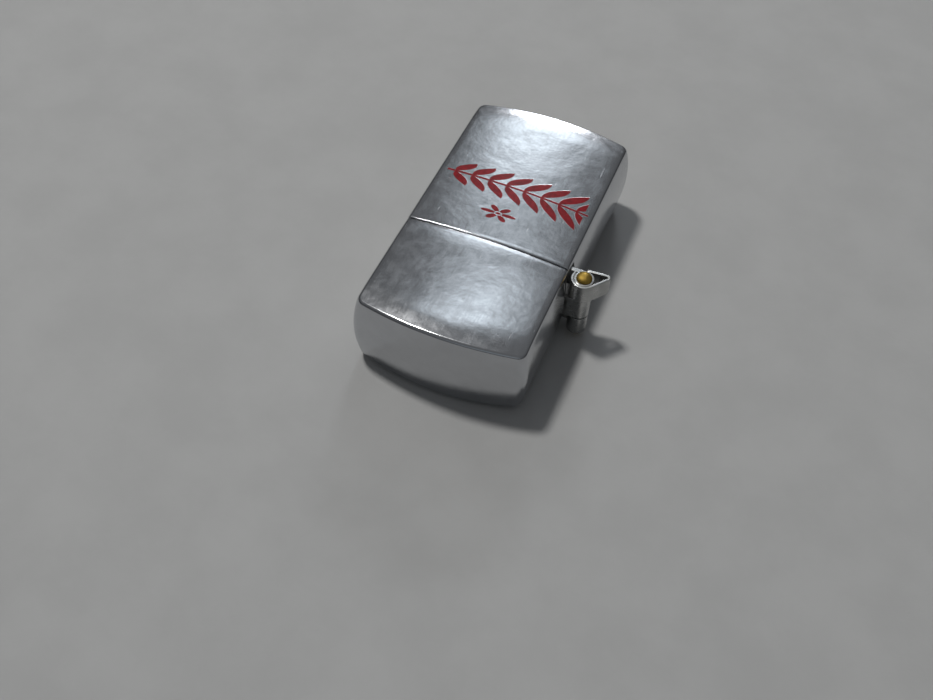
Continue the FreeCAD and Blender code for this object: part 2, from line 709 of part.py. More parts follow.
def cam_spring():
    """An L-shaped leaf: riveted to the tank's wall, its free arm under the lever's foot."""
    z = ("mid_z - cam_spring_width / 2", "mid_z + cam_spring_width / 2")
    wall_x = "insert_half - insert_wall"
    arm_y = "foot_y + cam_spring_gap"
    upright = box("cam_spring_upright", (f"{wall_x} - cam_spring_thickness", wall_x),
                  (arm_y, "cam_spring_length"), z)
    arm = box("cam_spring_arm", ("cam_x - cam_foot_width", wall_x),
              (arm_y, f"{arm_y} + cam_spring_thickness"), z)
    finish(cut("cam_leaf", join("cam_leaf_blank", upright, arm), leaf_rivet_hole("leaf")), "cam_spring")
    shank = rod("leaf_rivet_shank", "leaf_rivet_radius", "insert_wall + cam_spring_thickness",
                f"{wall_x} - cam_spring_thickness", "leaf_rivet_y", "mid_z", SIDE_X)
    head = rod("leaf_rivet_head", "leaf_rivet_head", "rivet_head_height",
               f"{wall_x} - cam_spring_thickness - rivet_head_height", "leaf_rivet_y", "mid_z", SIDE_X)
    finish(join("leaf_rivet", shank, head), "cam_spring_rivet")


cam_lever()
cam_spring()


# ---------------------------------------------------------------- fuel and flint

def flint_parts():
    tube_length, tube_start = "tube_end - deck_y + tube_rise", "deck_y - tube_rise"
    outside = bar("tube_outside", "tube_radius", tube_length, "wheel_x", tube_start)
    bore = bar("tube_bore_cut", "tube_bore", f"{tube_length} + 2 * overshoot", "wheel_x",
               f"{tube_start} - overshoot")
    finish(cut("tube", outside, bore), "flint_tube")
    finish(bar("flint_stick", "flint_radius", "flint_length", "wheel_x", "flint_top"), "flint")
    plug = bar("plug", "tube_bore - plug_clearance", "plug_length", "wheel_x", "flint_end")
    finish(plug, "spring_plug")

    helix = doc.addObject("Part::Helix", "spring_path")
    coil_radius = "tube_bore - spring_clearance - spring_wire / 2"
    coil_length = "(screw_start - plug_end - spring_wire - 2 * spring_end_gap)"
    bind(helix, Radius=coil_radius, Height=coil_length, Pitch=coil_length + " / spring_turns")
    wire = doc.addObject("Part::Circle", "spring_section")
    bind(wire, Radius="spring_wire / 2")
    place(wire, coil_radius, "0", "0", FreeCAD.Rotation(FreeCAD.Vector(1, 0, 0), 90))
    coil = doc.addObject("Part::Sweep", "coil")
    coil.Sections = [wire]
    coil.Spine = (helix, [])
    coil.Solid = True
    coil.Frenet = True
    place(coil, "wheel_x", "plug_end + spring_wire / 2 + spring_end_gap", "mid_z", SIDE_Y)
    finish(coil, "flint_spring")

    shank = bar("screw_shank", "tube_bore - screw_clearance", "screw_length", "wheel_x", "screw_start")
    head = bar("screw_head", "screw_head_radius", "screw_head_height", "wheel_x", "tube_end")
    slot = box("screw_slot_cut", past("wheel_x - screw_head_radius", "wheel_x + screw_head_radius"),
               ("tube_end + screw_head_height / 2", "tube_end + screw_head_height + overshoot"),
               ("mid_z - screw_slot / 2", "mid_z + screw_slot / 2"))
    finish(cut("screw", join("screw_blank", shank, head), slot), "flint_screw")


def fuel_parts():
    wick = bar("wick_cord", "wick_radius", "wick_top + wick_depth", "chimney_center",
               "deck_y - wick_top")
    finish(wick, "wick")
    felt_end = "insert_end - felt_setback"
    felt_start = f"{felt_end} - felt_thickness"
    felt = insert_section("felt_blank", "insert_wall + felt_clearance", (felt_start, felt_end))
    felt_hole = bar("felt_hole", "tube_radius + felt_clearance", "felt_thickness + 2 * overshoot",
                    "wheel_x", f"{felt_start} - overshoot")
    finish(cut("felt", felt, felt_hole), "felt_pad")
    packing_y = ("deck_y + top_plate + packing_gap", f"{felt_start} - packing_gap")
    packing = insert_section("packing_blank", "insert_wall + packing_gap", packing_y)
    tube_room = bar("packing_tube_room", "tube_radius + packing_gap", "insert_end", "wheel_x", "deck_y")
    wick_room = bar("packing_wick_room", "wick_radius + wick_clearance", "wick_depth + packing_gap",
                    "chimney_center", "deck_y")
    spring_room = box("packing_spring_room", ("cam_x - cam_foot_width - packing_gap", "case_half"),
                      ("deck_y", "cam_spring_length + packing_gap"), ("0", "full_thickness"))
    finish(cut("packing", packing, tube_room, wick_room, spring_room), "wick_packing")


flint_parts()
fuel_parts()


# ---------------------------------------------------------------- check and write

doc.recompute()
for obj in doc.Objects:
    if any(state in ("Invalid", "Error") for state in obj.State):
        raise RuntimeError(f"{obj.Name} ({obj.Label}) failed to build")
for obj in FINISHED:
    shape = obj.Shape
    if shape.isNull() or not shape.isValid() or not shape.Solids:
        raise RuntimeError(f"{obj.Label} has no valid solid")

os.makedirs("parts", exist_ok=True)
for obj in FINISHED:
    obj.Shape.exportStep(f"parts/{obj.Label}.step")
    bounds = obj.Shape.BoundBox
    print(f"{obj.Label:20s} solids {len(obj.Shape.Solids)} volume {obj.Shape.Volume:9.3f} "
          f"x {bounds.XMin:7.2f} {bounds.XMax:7.2f} y {bounds.YMin:7.2f} {bounds.YMax:7.2f} "
          f"z {bounds.ZMin:6.2f} {bounds.ZMax:6.2f}")
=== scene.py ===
"""Miniature flip-top petrol lighter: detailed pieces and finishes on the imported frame."""
import json
import math

import bmesh
import bpy
from bpy.props import FloatProperty, FloatVectorProperty, IntProperty, PointerProperty
from mathutils import Matrix, Vector, noise


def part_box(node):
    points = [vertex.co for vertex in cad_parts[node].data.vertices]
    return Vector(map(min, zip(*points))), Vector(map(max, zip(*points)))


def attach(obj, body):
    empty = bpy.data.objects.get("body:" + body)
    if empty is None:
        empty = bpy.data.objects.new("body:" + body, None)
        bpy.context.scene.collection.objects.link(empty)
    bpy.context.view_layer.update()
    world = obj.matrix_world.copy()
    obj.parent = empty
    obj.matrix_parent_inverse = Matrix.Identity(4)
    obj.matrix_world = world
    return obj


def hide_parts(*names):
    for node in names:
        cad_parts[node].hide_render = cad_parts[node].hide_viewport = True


bl_info = {
    "name": "Flip-top lighter",
    "version": (1, 0, 0),
    "blender": (4, 5, 0),
    "location": "View3D > Sidebar > Lighter",
    "description": "Builds a miniature flip-top petrol lighter round its packed frame",
    "category": "Add Mesh",
}

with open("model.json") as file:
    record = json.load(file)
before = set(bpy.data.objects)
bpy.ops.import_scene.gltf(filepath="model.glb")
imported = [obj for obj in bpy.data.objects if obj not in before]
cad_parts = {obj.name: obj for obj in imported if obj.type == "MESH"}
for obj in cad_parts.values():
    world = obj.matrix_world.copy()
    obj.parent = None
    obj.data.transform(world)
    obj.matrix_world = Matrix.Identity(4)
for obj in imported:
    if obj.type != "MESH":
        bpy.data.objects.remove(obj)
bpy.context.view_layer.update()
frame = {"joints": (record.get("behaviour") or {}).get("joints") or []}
MM = 0.001
JOINTS = {joint["name"]: joint for joint in frame["joints"]}
UP = Vector((0, 0, 1))


# ------------------------------------------------------------------ sizes and colours

def length(name, description, millimetres):
    return FloatProperty(name=name, description=description, default=millimetres * MM, unit="LENGTH",
                         precision=5)


def colour(name, description, rgb):
    return FloatVectorProperty(name=name, description=description, default=rgb, size=3, subtype="COLOR",
                               min=0, max=1)


class LighterCase(bpy.types.PropertyGroup):
    """Sizes of the two case halves."""

    width: length("Width", "Between the crisp edges of the front face", 21.0)
    crown: length("Crown", "Rise of the front and back faces", 0.6)
    side_bulge: length("Side bulge", "How far the side walls swell", 0.6)
    end_bulge: length("End bulge", "How far the end walls swell", 0.5)
    body_arch: length("Body arch", "How much further the bottom reaches at its middle", 0.9)
    lid_arch: length("Lid arch", "How much further the top reaches at its middle", 1.6)
    wall: length("Wall", "Sheet thickness", 0.5)
    corner: length("Corner radius", "Corners seen from the front", 0.9)
    edge: length("Edge radius", "Edges round the front and back", 0.35)
    rim: length("Rim radius", "Rounding of the rims at the seam", 0.11)
    fall: length("Fall", "How far the front and back drop towards the end walls", 0.26)
    fall_start: length("Fall start", "Distance from the end wall where that drop starts", 3.8)
    roll: length("Roll", "How far the lid's front and back drop towards the seam", 0.09)
    roll_start: length("Roll start", "Distance from the seam where that drop starts", 3.0)
    notch: length("Notch", "Length of the hinge notch in each rim", 1.86)
    notch_margin: length("Notch margin", "Notch beyond the barrel's ends", 0.25)
    cell: length("Cell", "Spacing of the surface mesh", 0.6)
    chrome: colour("Chrome", "Colour of the plating", (0.55, 0.56, 0.58))
    print_red: colour("Print", "Colour of the printed ornament", (0.30, 0.004, 0.010))


class LighterHinge(bpy.types.PropertyGroup):
    """Sizes of the hinge and the key-ring lug."""

    sheet: length("Sheet", "Thickness of the rolled hinge sheet", 0.4)
    leaf: length("Leaf", "Thickness of the leaf inside the wall", 0.25)
    knuckle: length("Knuckle radius", "Outside radius of the rolled knuckles", 1.25)
    lower: length("Lower knuckle", "Length of the body's lower knuckle", 2.7)
    gap: length("Knuckle gap", "Clearance between neighbouring knuckles", 0.2)
    strap: length("Strap", "Thickness of the lug's strip", 0.34)
    lug_reach: length("Lug reach", "From the pin to the lug's tip, across", 2.45)
    lug_rise: length("Lug rise", "From the pin to the lug's tip, along", 1.3)
    lug_tip: length("Lug tip", "Radius round the lug's tip", 0.47)
    brass: colour("Brass", "Colour of the pin", (0.60, 0.40, 0.09))
    # painted shade: the hinge's plating is set darker than the case's chrome to stand in for the shadowed
    # floor that its walls reflect
    plate: colour("Plate", "Colour of the hinge's plating", (0.48, 0.48, 0.47))


class LighterInsert(bpy.types.PropertyGroup):
    """Sizes of the insert, its chimney and the parts that it carries."""

    wall: length("Wall", "Sheet thickness of the tank", 0.35)
    sheet: length("Sheet", "Sheet thickness of the chimney", 0.4)
    vent: length("Vent radius", "Radius of the chimney's vents", 0.62)
    vent_pitch: length("Vent pitch", "Spacing of the vents", 2.0)
    vent_first: length("First vents", "First row of vents above the tank", 4.2)
    tooth: length("Tooth depth", "Depth of the wheel's serrations", 0.16)
    teeth: IntProperty(name="Teeth", description="Serrations round the wheel", default=30, min=8, max=60)
    axle: length("Axle radius", "Radius of the rivets through the cheeks", 0.5)
    steel: colour("Steel", "Colour of the insert's sheet", (0.62, 0.61, 0.60))
    dark_steel: colour("Dark steel", "Colour of the striking wheel", (0.20, 0.19, 0.18))
    cotton: colour("Cotton", "Colour of wick and packing", (0.78, 0.73, 0.62))


class LighterStage(bpy.types.PropertyGroup):
    """The floor, the lights and the camera."""

    azimuth: FloatProperty(name="Azimuth", description="Camera's turn round the lighter", subtype="ANGLE",
                           default=math.radians(19.9))
    elevation: FloatProperty(name="Elevation", description="Camera's height angle", subtype="ANGLE",
                             default=math.radians(52.0))
    roll: FloatProperty(name="Roll", description="Camera's roll", subtype="ANGLE", default=math.radians(3.5))
    distance: length("Distance", "From the aim point to the camera", 138.9)
    aim: FloatVectorProperty(name="Aim", description="Point on the floor that the camera looks at", size=3,
                             unit="LENGTH", default=(-0.91 * MM, -12.8 * MM, 0))
    lens: FloatProperty(name="Lens", description="Focal length in millimetres", default=43.18, min=10,
                        max=200)
    paper: colour("Paper", "Colour of the floor", (0.50, 0.50, 0.495))


def sizes(group):
    """One of the groups of sizes above."""
    return getattr(bpy.context.scene, "lighter_" + group)


# ------------------------------------------------------------------ mesh helpers

def near(a, b, tolerance=1e-6):
    return abs(a - b) < tolerance


def span(low, high, cell):
    """Evenly spaced places strictly between two limits, about one cell apart."""
    count = max(1, round((high - low) / cell))
    return [low + (high - low) * step / count for step in range(1, count)]


def slice_grid(bm, axis, places):
    """Cut the mesh with planes square to one axis."""
    normal = Vector(tuple(1.0 if index == axis else 0.0 for index in range(3)))
    for place in places:
        bmesh.ops.bisect_plane(bm, geom=bm.verts[:] + bm.edges[:] + bm.faces[:], dist=1e-8,
                               plane_co=normal * place, plane_no=normal)


def bevel(bm, edges, offset, segments):
    bmesh.ops.bevel(bm, geom=edges, offset=offset, segments=segments, affect="EDGES", profile=0.5,
                    material=-1)


def block(bm, low, high):
    """A box between two corners; returns its vertices."""
    low, high = Vector(low), Vector(high)
    made = bmesh.ops.create_cube(bm, size=1.0)["verts"]
    bmesh.ops.scale(bm, vec=high - low, verts=made)
    bmesh.ops.translate(bm, vec=(low + high) / 2, verts=made)
    return made


def new_object(name, bm, smooth=True):
    bmesh.ops.remove_doubles(bm, verts=bm.verts[:], dist=1e-7)
    bmesh.ops.recalc_face_normals(bm, faces=bm.faces[:])
    mesh = bpy.data.meshes.new(name)
    bm.to_mesh(mesh)
    bm.free()
    for polygon in mesh.polygons:
        polygon.use_smooth = smooth
    piece = bpy.data.objects.new(name, mesh)
    bpy.context.scene.collection.objects.link(piece)
    return piece


def edge_bevel(piece, width, segments=2, angle=35):
    modifier = piece.modifiers.new("Edges", "BEVEL")
    modifier.width = width
    modifier.segments = segments
    modifier.limit_method = "ANGLE"
    modifier.angle_limit = math.radians(angle)
    modifier.use_clamp_overlap = True


def even_normals(piece):
    modifier = piece.modifiers.new("Normals", "WEIGHTED_NORMAL")
    modifier.weight = 80
    modifier.keep_sharp = False


def soften(piece, width, segments, angle):
    """Round a piece's sharp edges and even out its shading."""
    edge_bevel(piece, width, segments, angle)
    even_normals(piece)
    return piece


def settle(piece):
    """Turn the piece's modifiers into its mesh."""
    graph = bpy.context.evaluated_depsgraph_get()
    mesh = bpy.data.meshes.new_from_object(piece.evaluated_get(graph))
    old = piece.data
    piece.modifiers.clear()
    piece.data = mesh
    bpy.data.meshes.remove(old)
    return piece


def combine(piece, other, operation):
    """A boolean of two closed pieces; the second one is used up."""
    modifier = piece.modifiers.new("Combine", "BOOLEAN")
    modifier.object = other
    modifier.operation = operation
    modifier.solver = "EXACT"
    settle(piece)
    bpy.data.objects.remove(other)
    return piece


def lathe(bm, profile, centre, axis, steps=48):
    """Turn a chain of (radius, height) points round an axis; the chain starts and ends on the axis."""
    axis = Vector(axis)
    side = axis.orthogonal().normalized()
    chain = [bm.verts.new(Vector(centre) + side * radius + axis * height) for radius, height in profile]
    edges = [bm.edges.new(pair) for pair in zip(chain, chain[1:])]
    bmesh.ops.spin(bm, geom=chain + edges, cent=Vector(centre), axis=axis, dvec=(0, 0, 0), angle=math.tau,
                   steps=steps, use_merge=True, use_duplicate=False)
    bmesh.ops.remove_doubles(bm, verts=bm.verts[:], dist=1e-7)


def strip_section(bm, corner, across, height):
    """Four joined edges of a strip's section, standing along Z."""
    corner, across = Vector(corner), Vector(across)
    ring = [bm.verts.new(place) for place in (corner, corner + across, corner + across + UP * height,
                                              corner + UP * height)]
    return [bm.edges.new((ring[index], ring[(index + 1) % 4])) for index in range(4)]


def bend_strip(bm, edges, centre, angle, steps):
    """Carry a section round a vertical axis."""
    verts = list({vert for edge in edges for vert in edge.verts})
    made = bmesh.ops.spin(bm, geom=verts + edges, cent=Vector(centre), axis=UP, dvec=(0, 0, 0), angle=angle,
                          steps=steps, use_duplicate=False)
    return [item for item in made["geom_last"] if isinstance(item, bmesh.types.BMEdge)]


def run_strip(bm, edges, way):
    """Carry a section along a straight way."""
    made = bmesh.ops.extrude_edge_only(bm, edges=edges)["geom"]
    verts = [item for item in made if isinstance(item, bmesh.types.BMVert)]
    bmesh.ops.translate(bm, vec=Vector(way), verts=verts)
    return [item for item in made if isinstance(item, bmesh.types.BMEdge)
            and all(vert in verts for vert in item.verts)]


def close_ends(bm):
    bmesh.ops.holes_fill(bm, edges=[edge for edge in bm.edges if edge.is_boundary], sides=0)


def dress(piece, body, slot, material, *replaced):
    """Give a finished piece its material, its body and the nodes that it stands for."""
    piece.data.materials.clear()
    piece.data.materials.append(material)
    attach(piece, body)
    if replaced:
        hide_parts(*replaced)
    return piece


# ------------------------------------------------------------------ shader helpers

def link(tree, value, socket):
    """Feed a socket from another one, or set it."""
    if isinstance(value, bpy.types.NodeSocket):
        tree.links.new(value, socket)
    else:
        socket.default_value = value


def calc(tree, operation, *values, clamp=False):
    node = tree.nodes.new("ShaderNodeMath")
    node.operation = operation
    node.use_clamp = clamp
    for value, socket in zip(values, node.inputs):
        link(tree, value, socket)
    return node.outputs[0]


def plus(tree, first, second, clamp=False):
    return calc(tree, "ADD", first, second, clamp=clamp)


def less(tree, first, second):
    return calc(tree, "SUBTRACT", first, second)


def times(tree, first, second):
    return calc(tree, "MULTIPLY", first, second)


def parts_of(tree, vector):
    """The X, Y and Z of a vector."""
    node = tree.nodes.new("ShaderNodeSeparateXYZ")
    tree.links.new(vector, node.inputs[0])
    return node.outputs


def remap(tree, value, low, high, to_low=0.0, to_high=1.0):
    node = tree.nodes.new("ShaderNodeMapRange")
    node.interpolation_type = "SMOOTHSTEP"
    for item, socket in zip((value, low, high, to_low, to_high), node.inputs):
        link(tree, item, socket)
    return node.outputs[0]


def mapped(tree, vector, scale=(1, 1, 1), turn=(0, 0, 0), shift=(0, 0, 0)):
    node = tree.nodes.new("ShaderNodeMapping")
    link(tree, vector, node.inputs["Vector"])
    node.inputs["Location"].default_value = shift
    node.inputs["Rotation"].default_value = turn
    node.inputs["Scale"].default_value = scale
    return node.outputs[0]


def noisy(tree, vector, scale, detail=3.0, rough=0.55, distortion=0.0):
    node = tree.nodes.new("ShaderNodeTexNoise")
    link(tree, vector, node.inputs["Vector"])
    link(tree, scale, node.inputs["Scale"])
    node.inputs["Detail"].default_value = detail
    node.inputs["Roughness"].default_value = rough
    node.inputs["Distortion"].default_value = distortion
    return node.outputs["Fac"]


def blend(tree, factor, first, second):
    node = tree.nodes.new("ShaderNodeMix")
    node.data_type = "RGBA"
    link(tree, factor, node.inputs["Factor"])
    for value, socket in ((first, node.inputs[6]), (second, node.inputs[7])):
        link(tree, (*value, 1.0) if isinstance(value, (tuple, list)) and len(value) == 3 else value, socket)
    return node.outputs[2]


def group_of(name, inputs, outputs, build):
    """A shader node group, built once; build gets the tree, the inputs and returns the outputs."""
    tree = bpy.data.node_groups.get(name)
    if tree is None:
        tree = bpy.data.node_groups.new(name, "ShaderNodeTree")
        for label, kind, default in inputs:
            socket = tree.interface.new_socket(label, in_out="INPUT", socket_type=kind)
            if default is not None:
                socket.default_value = default
        for label, kind in outputs:
            tree.interface.new_socket(label, in_out="OUTPUT", socket_type=kind)
        entry = tree.nodes.new("NodeGroupInput")
        leave = tree.nodes.new("NodeGroupOutput")
        results = build(tree, {socket.name: socket for socket in entry.outputs})
        for result, socket in zip(results, leave.inputs):
            tree.links.new(result, socket)
    return tree


def use_group(tree, group, **values):
    node = tree.nodes.new("ShaderNodeGroup")
    node.node_tree = group
    for name, value in values.items():
        link(tree, value, node.inputs[name.replace("_", " ")])
    return node.outputs


def build_worn_metal(tree, given):
    """Grain along one direction, cloudy handling marks, and sparse hairline scratches two ways."""
    place = given["Vector"]
    grain = noisy(tree, mapped(tree, place, (1.0, 0.045, 1.0)), 9000.0, 3.0, 0.6)
    cloud = remap(tree, noisy(tree, place, given["Cloud Scale"], 4.0, 0.6, 0.4), 0.38, 0.66)
    lines = []
    for turn, scale, stretch in ((0.10, 5200.0, 0.03), (-0.55, 3900.0, 0.05), (1.15, 3300.0, 0.04)):
        bent = mapped(tree, place, (1.0, stretch, 1.0), (0, 0, turn), (turn * MM, 0, 0))
        line = remap(tree, noisy(tree, bent, scale, 3.0, 0.6, 0.15), 0.65, 0.76)
        patch = remap(tree, noisy(tree, place, 330.0 + scale / 20, 4.0, 0.6), 0.50, 0.66)
        lines.append(times(tree, line, patch))
    hairline = calc(tree, "MAXIMUM", calc(tree, "MAXIMUM", lines[0], lines[1]), lines[2])
    rough = plus(tree, given["Roughness"],
                 times(tree, less(tree, grain, 0.5), given["Grain"]))
    rough = plus(tree, rough, times(tree, cloud, given["Cloud"]))
    rough = plus(tree, rough, times(tree, hairline, given["Scratches"]), clamp=True)
    height = plus(tree, times(tree, grain, given["Grain"]),
                  times(tree, hairline, times(tree, given["Scratches"], -1.0)))
    return rough, height, cloud


def worn_metal():
    value = "NodeSocketFloat"
    return group_of("worn_metal",
                    [("Vector", "NodeSocketVector", None), ("Roughness", value, 0.2), ("Grain", value, 0.2),
                     ("Cloud", value, 0.1), ("Cloud Scale", value, 220.0), ("Scratches", value, 0.2)],
                    [("Roughness", value), ("Height", value), ("Cloud", value)], build_worn_metal)


def new_material(name):
    material = bpy.data.materials.new(name)
    material.use_nodes = True
    tree = material.node_tree
    shader = tree.nodes["Principled BSDF"]
    place = tree.nodes.new("ShaderNodeTexCoord").outputs["Object"]
    return material, tree, shader, place


def add_bump(tree, shader, height, distance, strength=1.0, normal=None):
    node = tree.nodes.new("ShaderNodeBump")
    node.inputs["Strength"].default_value = strength
    node.inputs["Distance"].default_value = distance
    tree.links.new(height, node.inputs["Height"])
    if normal is not None:
        tree.links.new(normal, node.inputs["Normal"])
    if shader is not None:
        tree.links.new(node.outputs["Normal"], shader.inputs["Normal"])
    return node.outputs["Normal"]


def metal(name, base, roughness, grain=0.15, cloud=0.1, scratches=0.15, cloud_scale=220.0, along=(0, 0, 0),
          depth=0.004, tone=0.88):
    """A worn metal: the grain runs along Y unless turned."""
    material, tree, shader, place = new_material(name)
    marks = use_group(tree, worn_metal(), Vector=mapped(tree, place, turn=along), Roughness=roughness,
                      Grain=grain, Cloud=cloud, Cloud_Scale=cloud_scale, Scratches=scratches)
    shader.inputs["Metallic"].default_value = 1.0
    tree.links.new(marks["Roughness"], shader.inputs["Roughness"])
    tree.links.new(blend(tree, marks["Cloud"], tuple(base), tuple(tone * part for part in base)),
                   shader.inputs["Base Color"])
    add_bump(tree, shader, marks["Height"], depth * MM)
    return material, tree, shader, place, marks


# ------------------------------------------------------------------ case

def case_centre():
    case = sizes("case")
    low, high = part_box("body_shell")
    return Vector((low.x + case.side_bulge + case.width / 2, 0, (low.z + high.z) / 2))


def late(distance, start):
    """How far a smooth drop has come: nothing at its start, all of it where the distance is nothing."""
    return max(0.0, 1 - distance / start) ** 2


def swollen(place, centre, half, edge_half, crown, bulge=0.0, drop=0.0):
    """Where a point of a straight-sided block goes when its faces are crowned and its sides bulge."""
    across = (place.x - centre.x) / half
    up = (place.z - centre.z) / edge_half
    return Vector((place.x + across * bulge * (1 - up * up), place.y,
                   place.z + up * (crown * (1 - across * across) - drop)))


def arched(place, centre, half, edge_half, seam, end, arch, end_bulge):
    """How far a point moves along the case when the end wall is arched both ways."""
    across = (place.x - centre.x) / half
    up = (place.z - centre.z) / edge_half
    along = abs(place.y - seam) / abs(end - seam)
    return along * (arch * (1 - across * across) + end_bulge * (1 - up * up))


def case_block(way, seam, end, start, inset, arch, notch_limits=()):
    """One closed half of the case's form: bevelled block, cut into a fine grid and swollen."""
    case = sizes("case")
    centre = case_centre()
    half = case.width / 2 - inset
    low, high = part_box("body_shell")
    edge_half = (high.z - low.z) / 2 - case.crown - inset
    end -= way * inset
    bm = bmesh.new()
    block(bm, (centre.x - half, min(start, end), centre.z - edge_half),
          (centre.x + half, max(start, end), centre.z + edge_half))
    bevel(bm, [edge for edge in bm.edges if all(near(vert.co.y, end) for vert in edge.verts)
               and not near(edge.verts[0].co.z, edge.verts[1].co.z)], max(case.corner - inset, case.rim), 6)
    bevel(bm, [edge for edge in bm.edges if near(edge.verts[0].co.z, edge.verts[1].co.z)
               and not all(near(vert.co.y, start) for vert in edge.verts)],
          max(case.edge - inset, case.rim), 5)
    limits = sorted((start, end - way * case.corner))
    if not inset:
        bevel(bm, [edge for edge in bm.edges if all(near(vert.co.y, start) for vert in edge.verts)],
              case.rim, 4)
    slice_grid(bm, 0, span(centre.x - half + case.edge, centre.x + half - case.edge, case.cell))
    slice_grid(bm, 1, span(*limits, case.cell) + list(notch_limits[:1]))
    slice_grid(bm, 2, span(centre.z - edge_half + case.edge, centre.z + edge_half - case.edge, case.cell)
               + list(notch_limits[1:]))
    for vert in bm.verts:
        drop = case.fall * late(abs(end - vert.co.y), case.fall_start)
        if way < 0:
            drop += case.roll * late(abs(vert.co.y - seam), case.roll_start)
        reach = arched(vert.co, centre, half, edge_half, seam, end, arch, case.end_bulge)
        vert.co = swollen(vert.co, centre, half, edge_half, case.crown, case.side_bulge, drop)
        vert.co.y += way * reach
    return bm


def case_half(name, node, way, arch):
    """An open drawn shell: the form, less its cavity and the hinge notch."""
    case = sizes("case")
    low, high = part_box(node)
    seam, tip = (low.y, high.y) if way > 0 else (high.y, low.y)
    end = tip - way * (arch + case.end_bulge)
    leaf_low, leaf_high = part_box("body_hinge_leaf")
    notch_low, notch_high = leaf_low.z - case.notch_margin, leaf_high.z + case.notch_margin
    axis = JOINTS["lid_hinge"]["pos_m"]
    notch_end = axis[1] + way * case.notch
    piece = new_object(name, case_block(way, seam, end, seam, 0, arch, [notch_end, notch_low, notch_high]))
    cavity = new_object("cavity", case_block(way, seam, end, seam - way * 2 * MM, case.wall, arch))
    combine(piece, cavity, "DIFFERENCE")
    bm = bmesh.new()
    block(bm, (axis[0] - 4 * MM, min(seam - way * MM, notch_end), notch_low),
          (axis[0] + 2 * MM, max(seam - way * MM, notch_end), notch_high))
    combine(piece, new_object("notch", bm), "DIFFERENCE")
    even_normals(piece)
    return piece


class LIGHTER_OT_case(bpy.types.Operator):
    """Build the body and lid shells and plate them"""
    bl_idname = "lighter.case"
    bl_label = "Case"

    def execute(self, context):
        case = context.scene.lighter_case
        body = case_half("case_body", "body_shell", 1, case.body_arch)
        dress(body, "case", "case_chrome", case_chrome("body_chrome", True), "body_shell")
        lid = case_half("case_lid", "lid_shell", -1, case.lid_arch)
        dress(lid, "lid", "case_chrome", case_chrome("lid_chrome", False), "lid_shell")
        return {"FINISHED"}


def below(tree, value, limit, soft=0.05):
    """One where a value is under a limit, with a soft edge."""
    return remap(tree, less(tree, value, limit), -soft, soft, 1.0, 0.0)


# the printed ornament, in millimetres from the hinge pin's height along the case and from its middle across
LEAF_REACH, LEAF_WIDENING, LEAF_PITCH, LEAF_WIDTH = 2.55, 0.065, 2.35, 1.45
STEM_PLACE, STEM_LEAN, STEM_RADIUS = 9.6, -0.03, 0.16
EAR_MIDDLE, EAR_HALF, STEM_MIDDLE, STEM_HALF = 0.4, 8.9, 0.2, 9.6
FLOWER_ACROSS, FLOWER_ALONG, FLOWER_STRETCH = -0.4, 4.6, 1.7
PETALS, PETAL_REACH, FLOWER_GAP, FLOWER_HEART = 6, 1.35, 0.32, 0.2


def build_ornament(tree, given):
    """A plain printed ornament in millimetres: an ear of paired leaves on a stem, over a small flower."""
    x, y, z = parts_of(tree, given["Place"])

    def offset(value, middle):
        return less(tree, value, middle)

    reach = plus(tree, LEAF_REACH, times(tree, x, LEAF_WIDENING))
    stem = plus(tree, STEM_PLACE, times(tree, x, STEM_LEAN))
    side = calc(tree, "ABSOLUTE", offset(y, stem))
    out = calc(tree, "DIVIDE", side, reach)
    phase = calc(tree, "FRACT", calc(tree, "DIVIDE", plus(tree, offset(x, side), 40.0), LEAF_PITCH))
    width = times(tree, times(tree, out, offset(1.0, out)), LEAF_WIDTH)
    leaf = below(tree, offset(calc(tree, "ABSOLUTE", offset(phase, 0.5)), width), 0.0, 0.03)
    ends = below(tree, calc(tree, "ABSOLUTE", offset(x, EAR_MIDDLE)), EAR_HALF)
    stalk = times(tree, below(tree, side, STEM_RADIUS),
                  below(tree, calc(tree, "ABSOLUTE", offset(x, STEM_MIDDLE)), STEM_HALF))
    ear = calc(tree, "MAXIMUM", times(tree, leaf, ends), stalk)
    petal_x, petal_y = calc(tree, "DIVIDE", offset(x, FLOWER_ACROSS), FLOWER_STRETCH), offset(y, FLOWER_ALONG)
    angle = calc(tree, "ARCTAN2", petal_y, petal_x)
    radius = calc(tree, "SQRT", plus(tree, times(tree, petal_x, petal_x),
                                     times(tree, petal_y, petal_y)))
    lobes = times(tree, calc(tree, "ABSOLUTE", calc(tree, "COSINE", times(tree, angle, PETALS / 2))),
                 PETAL_REACH)
    flower = times(tree, below(tree, offset(radius, lobes), 0.0), below(tree, FLOWER_GAP, radius))
    front = remap(tree, z, 0.0, 0.5)
    worn = remap(tree, noisy(tree, given["Place"], 1.7, 5.0, 0.7), 0.27, 0.33)
    mask = calc(tree, "MAXIMUM", ear, calc(tree, "MAXIMUM", flower, below(tree, radius, FLOWER_HEART)))
    return (times(tree, times(tree, mask, front), worn),)


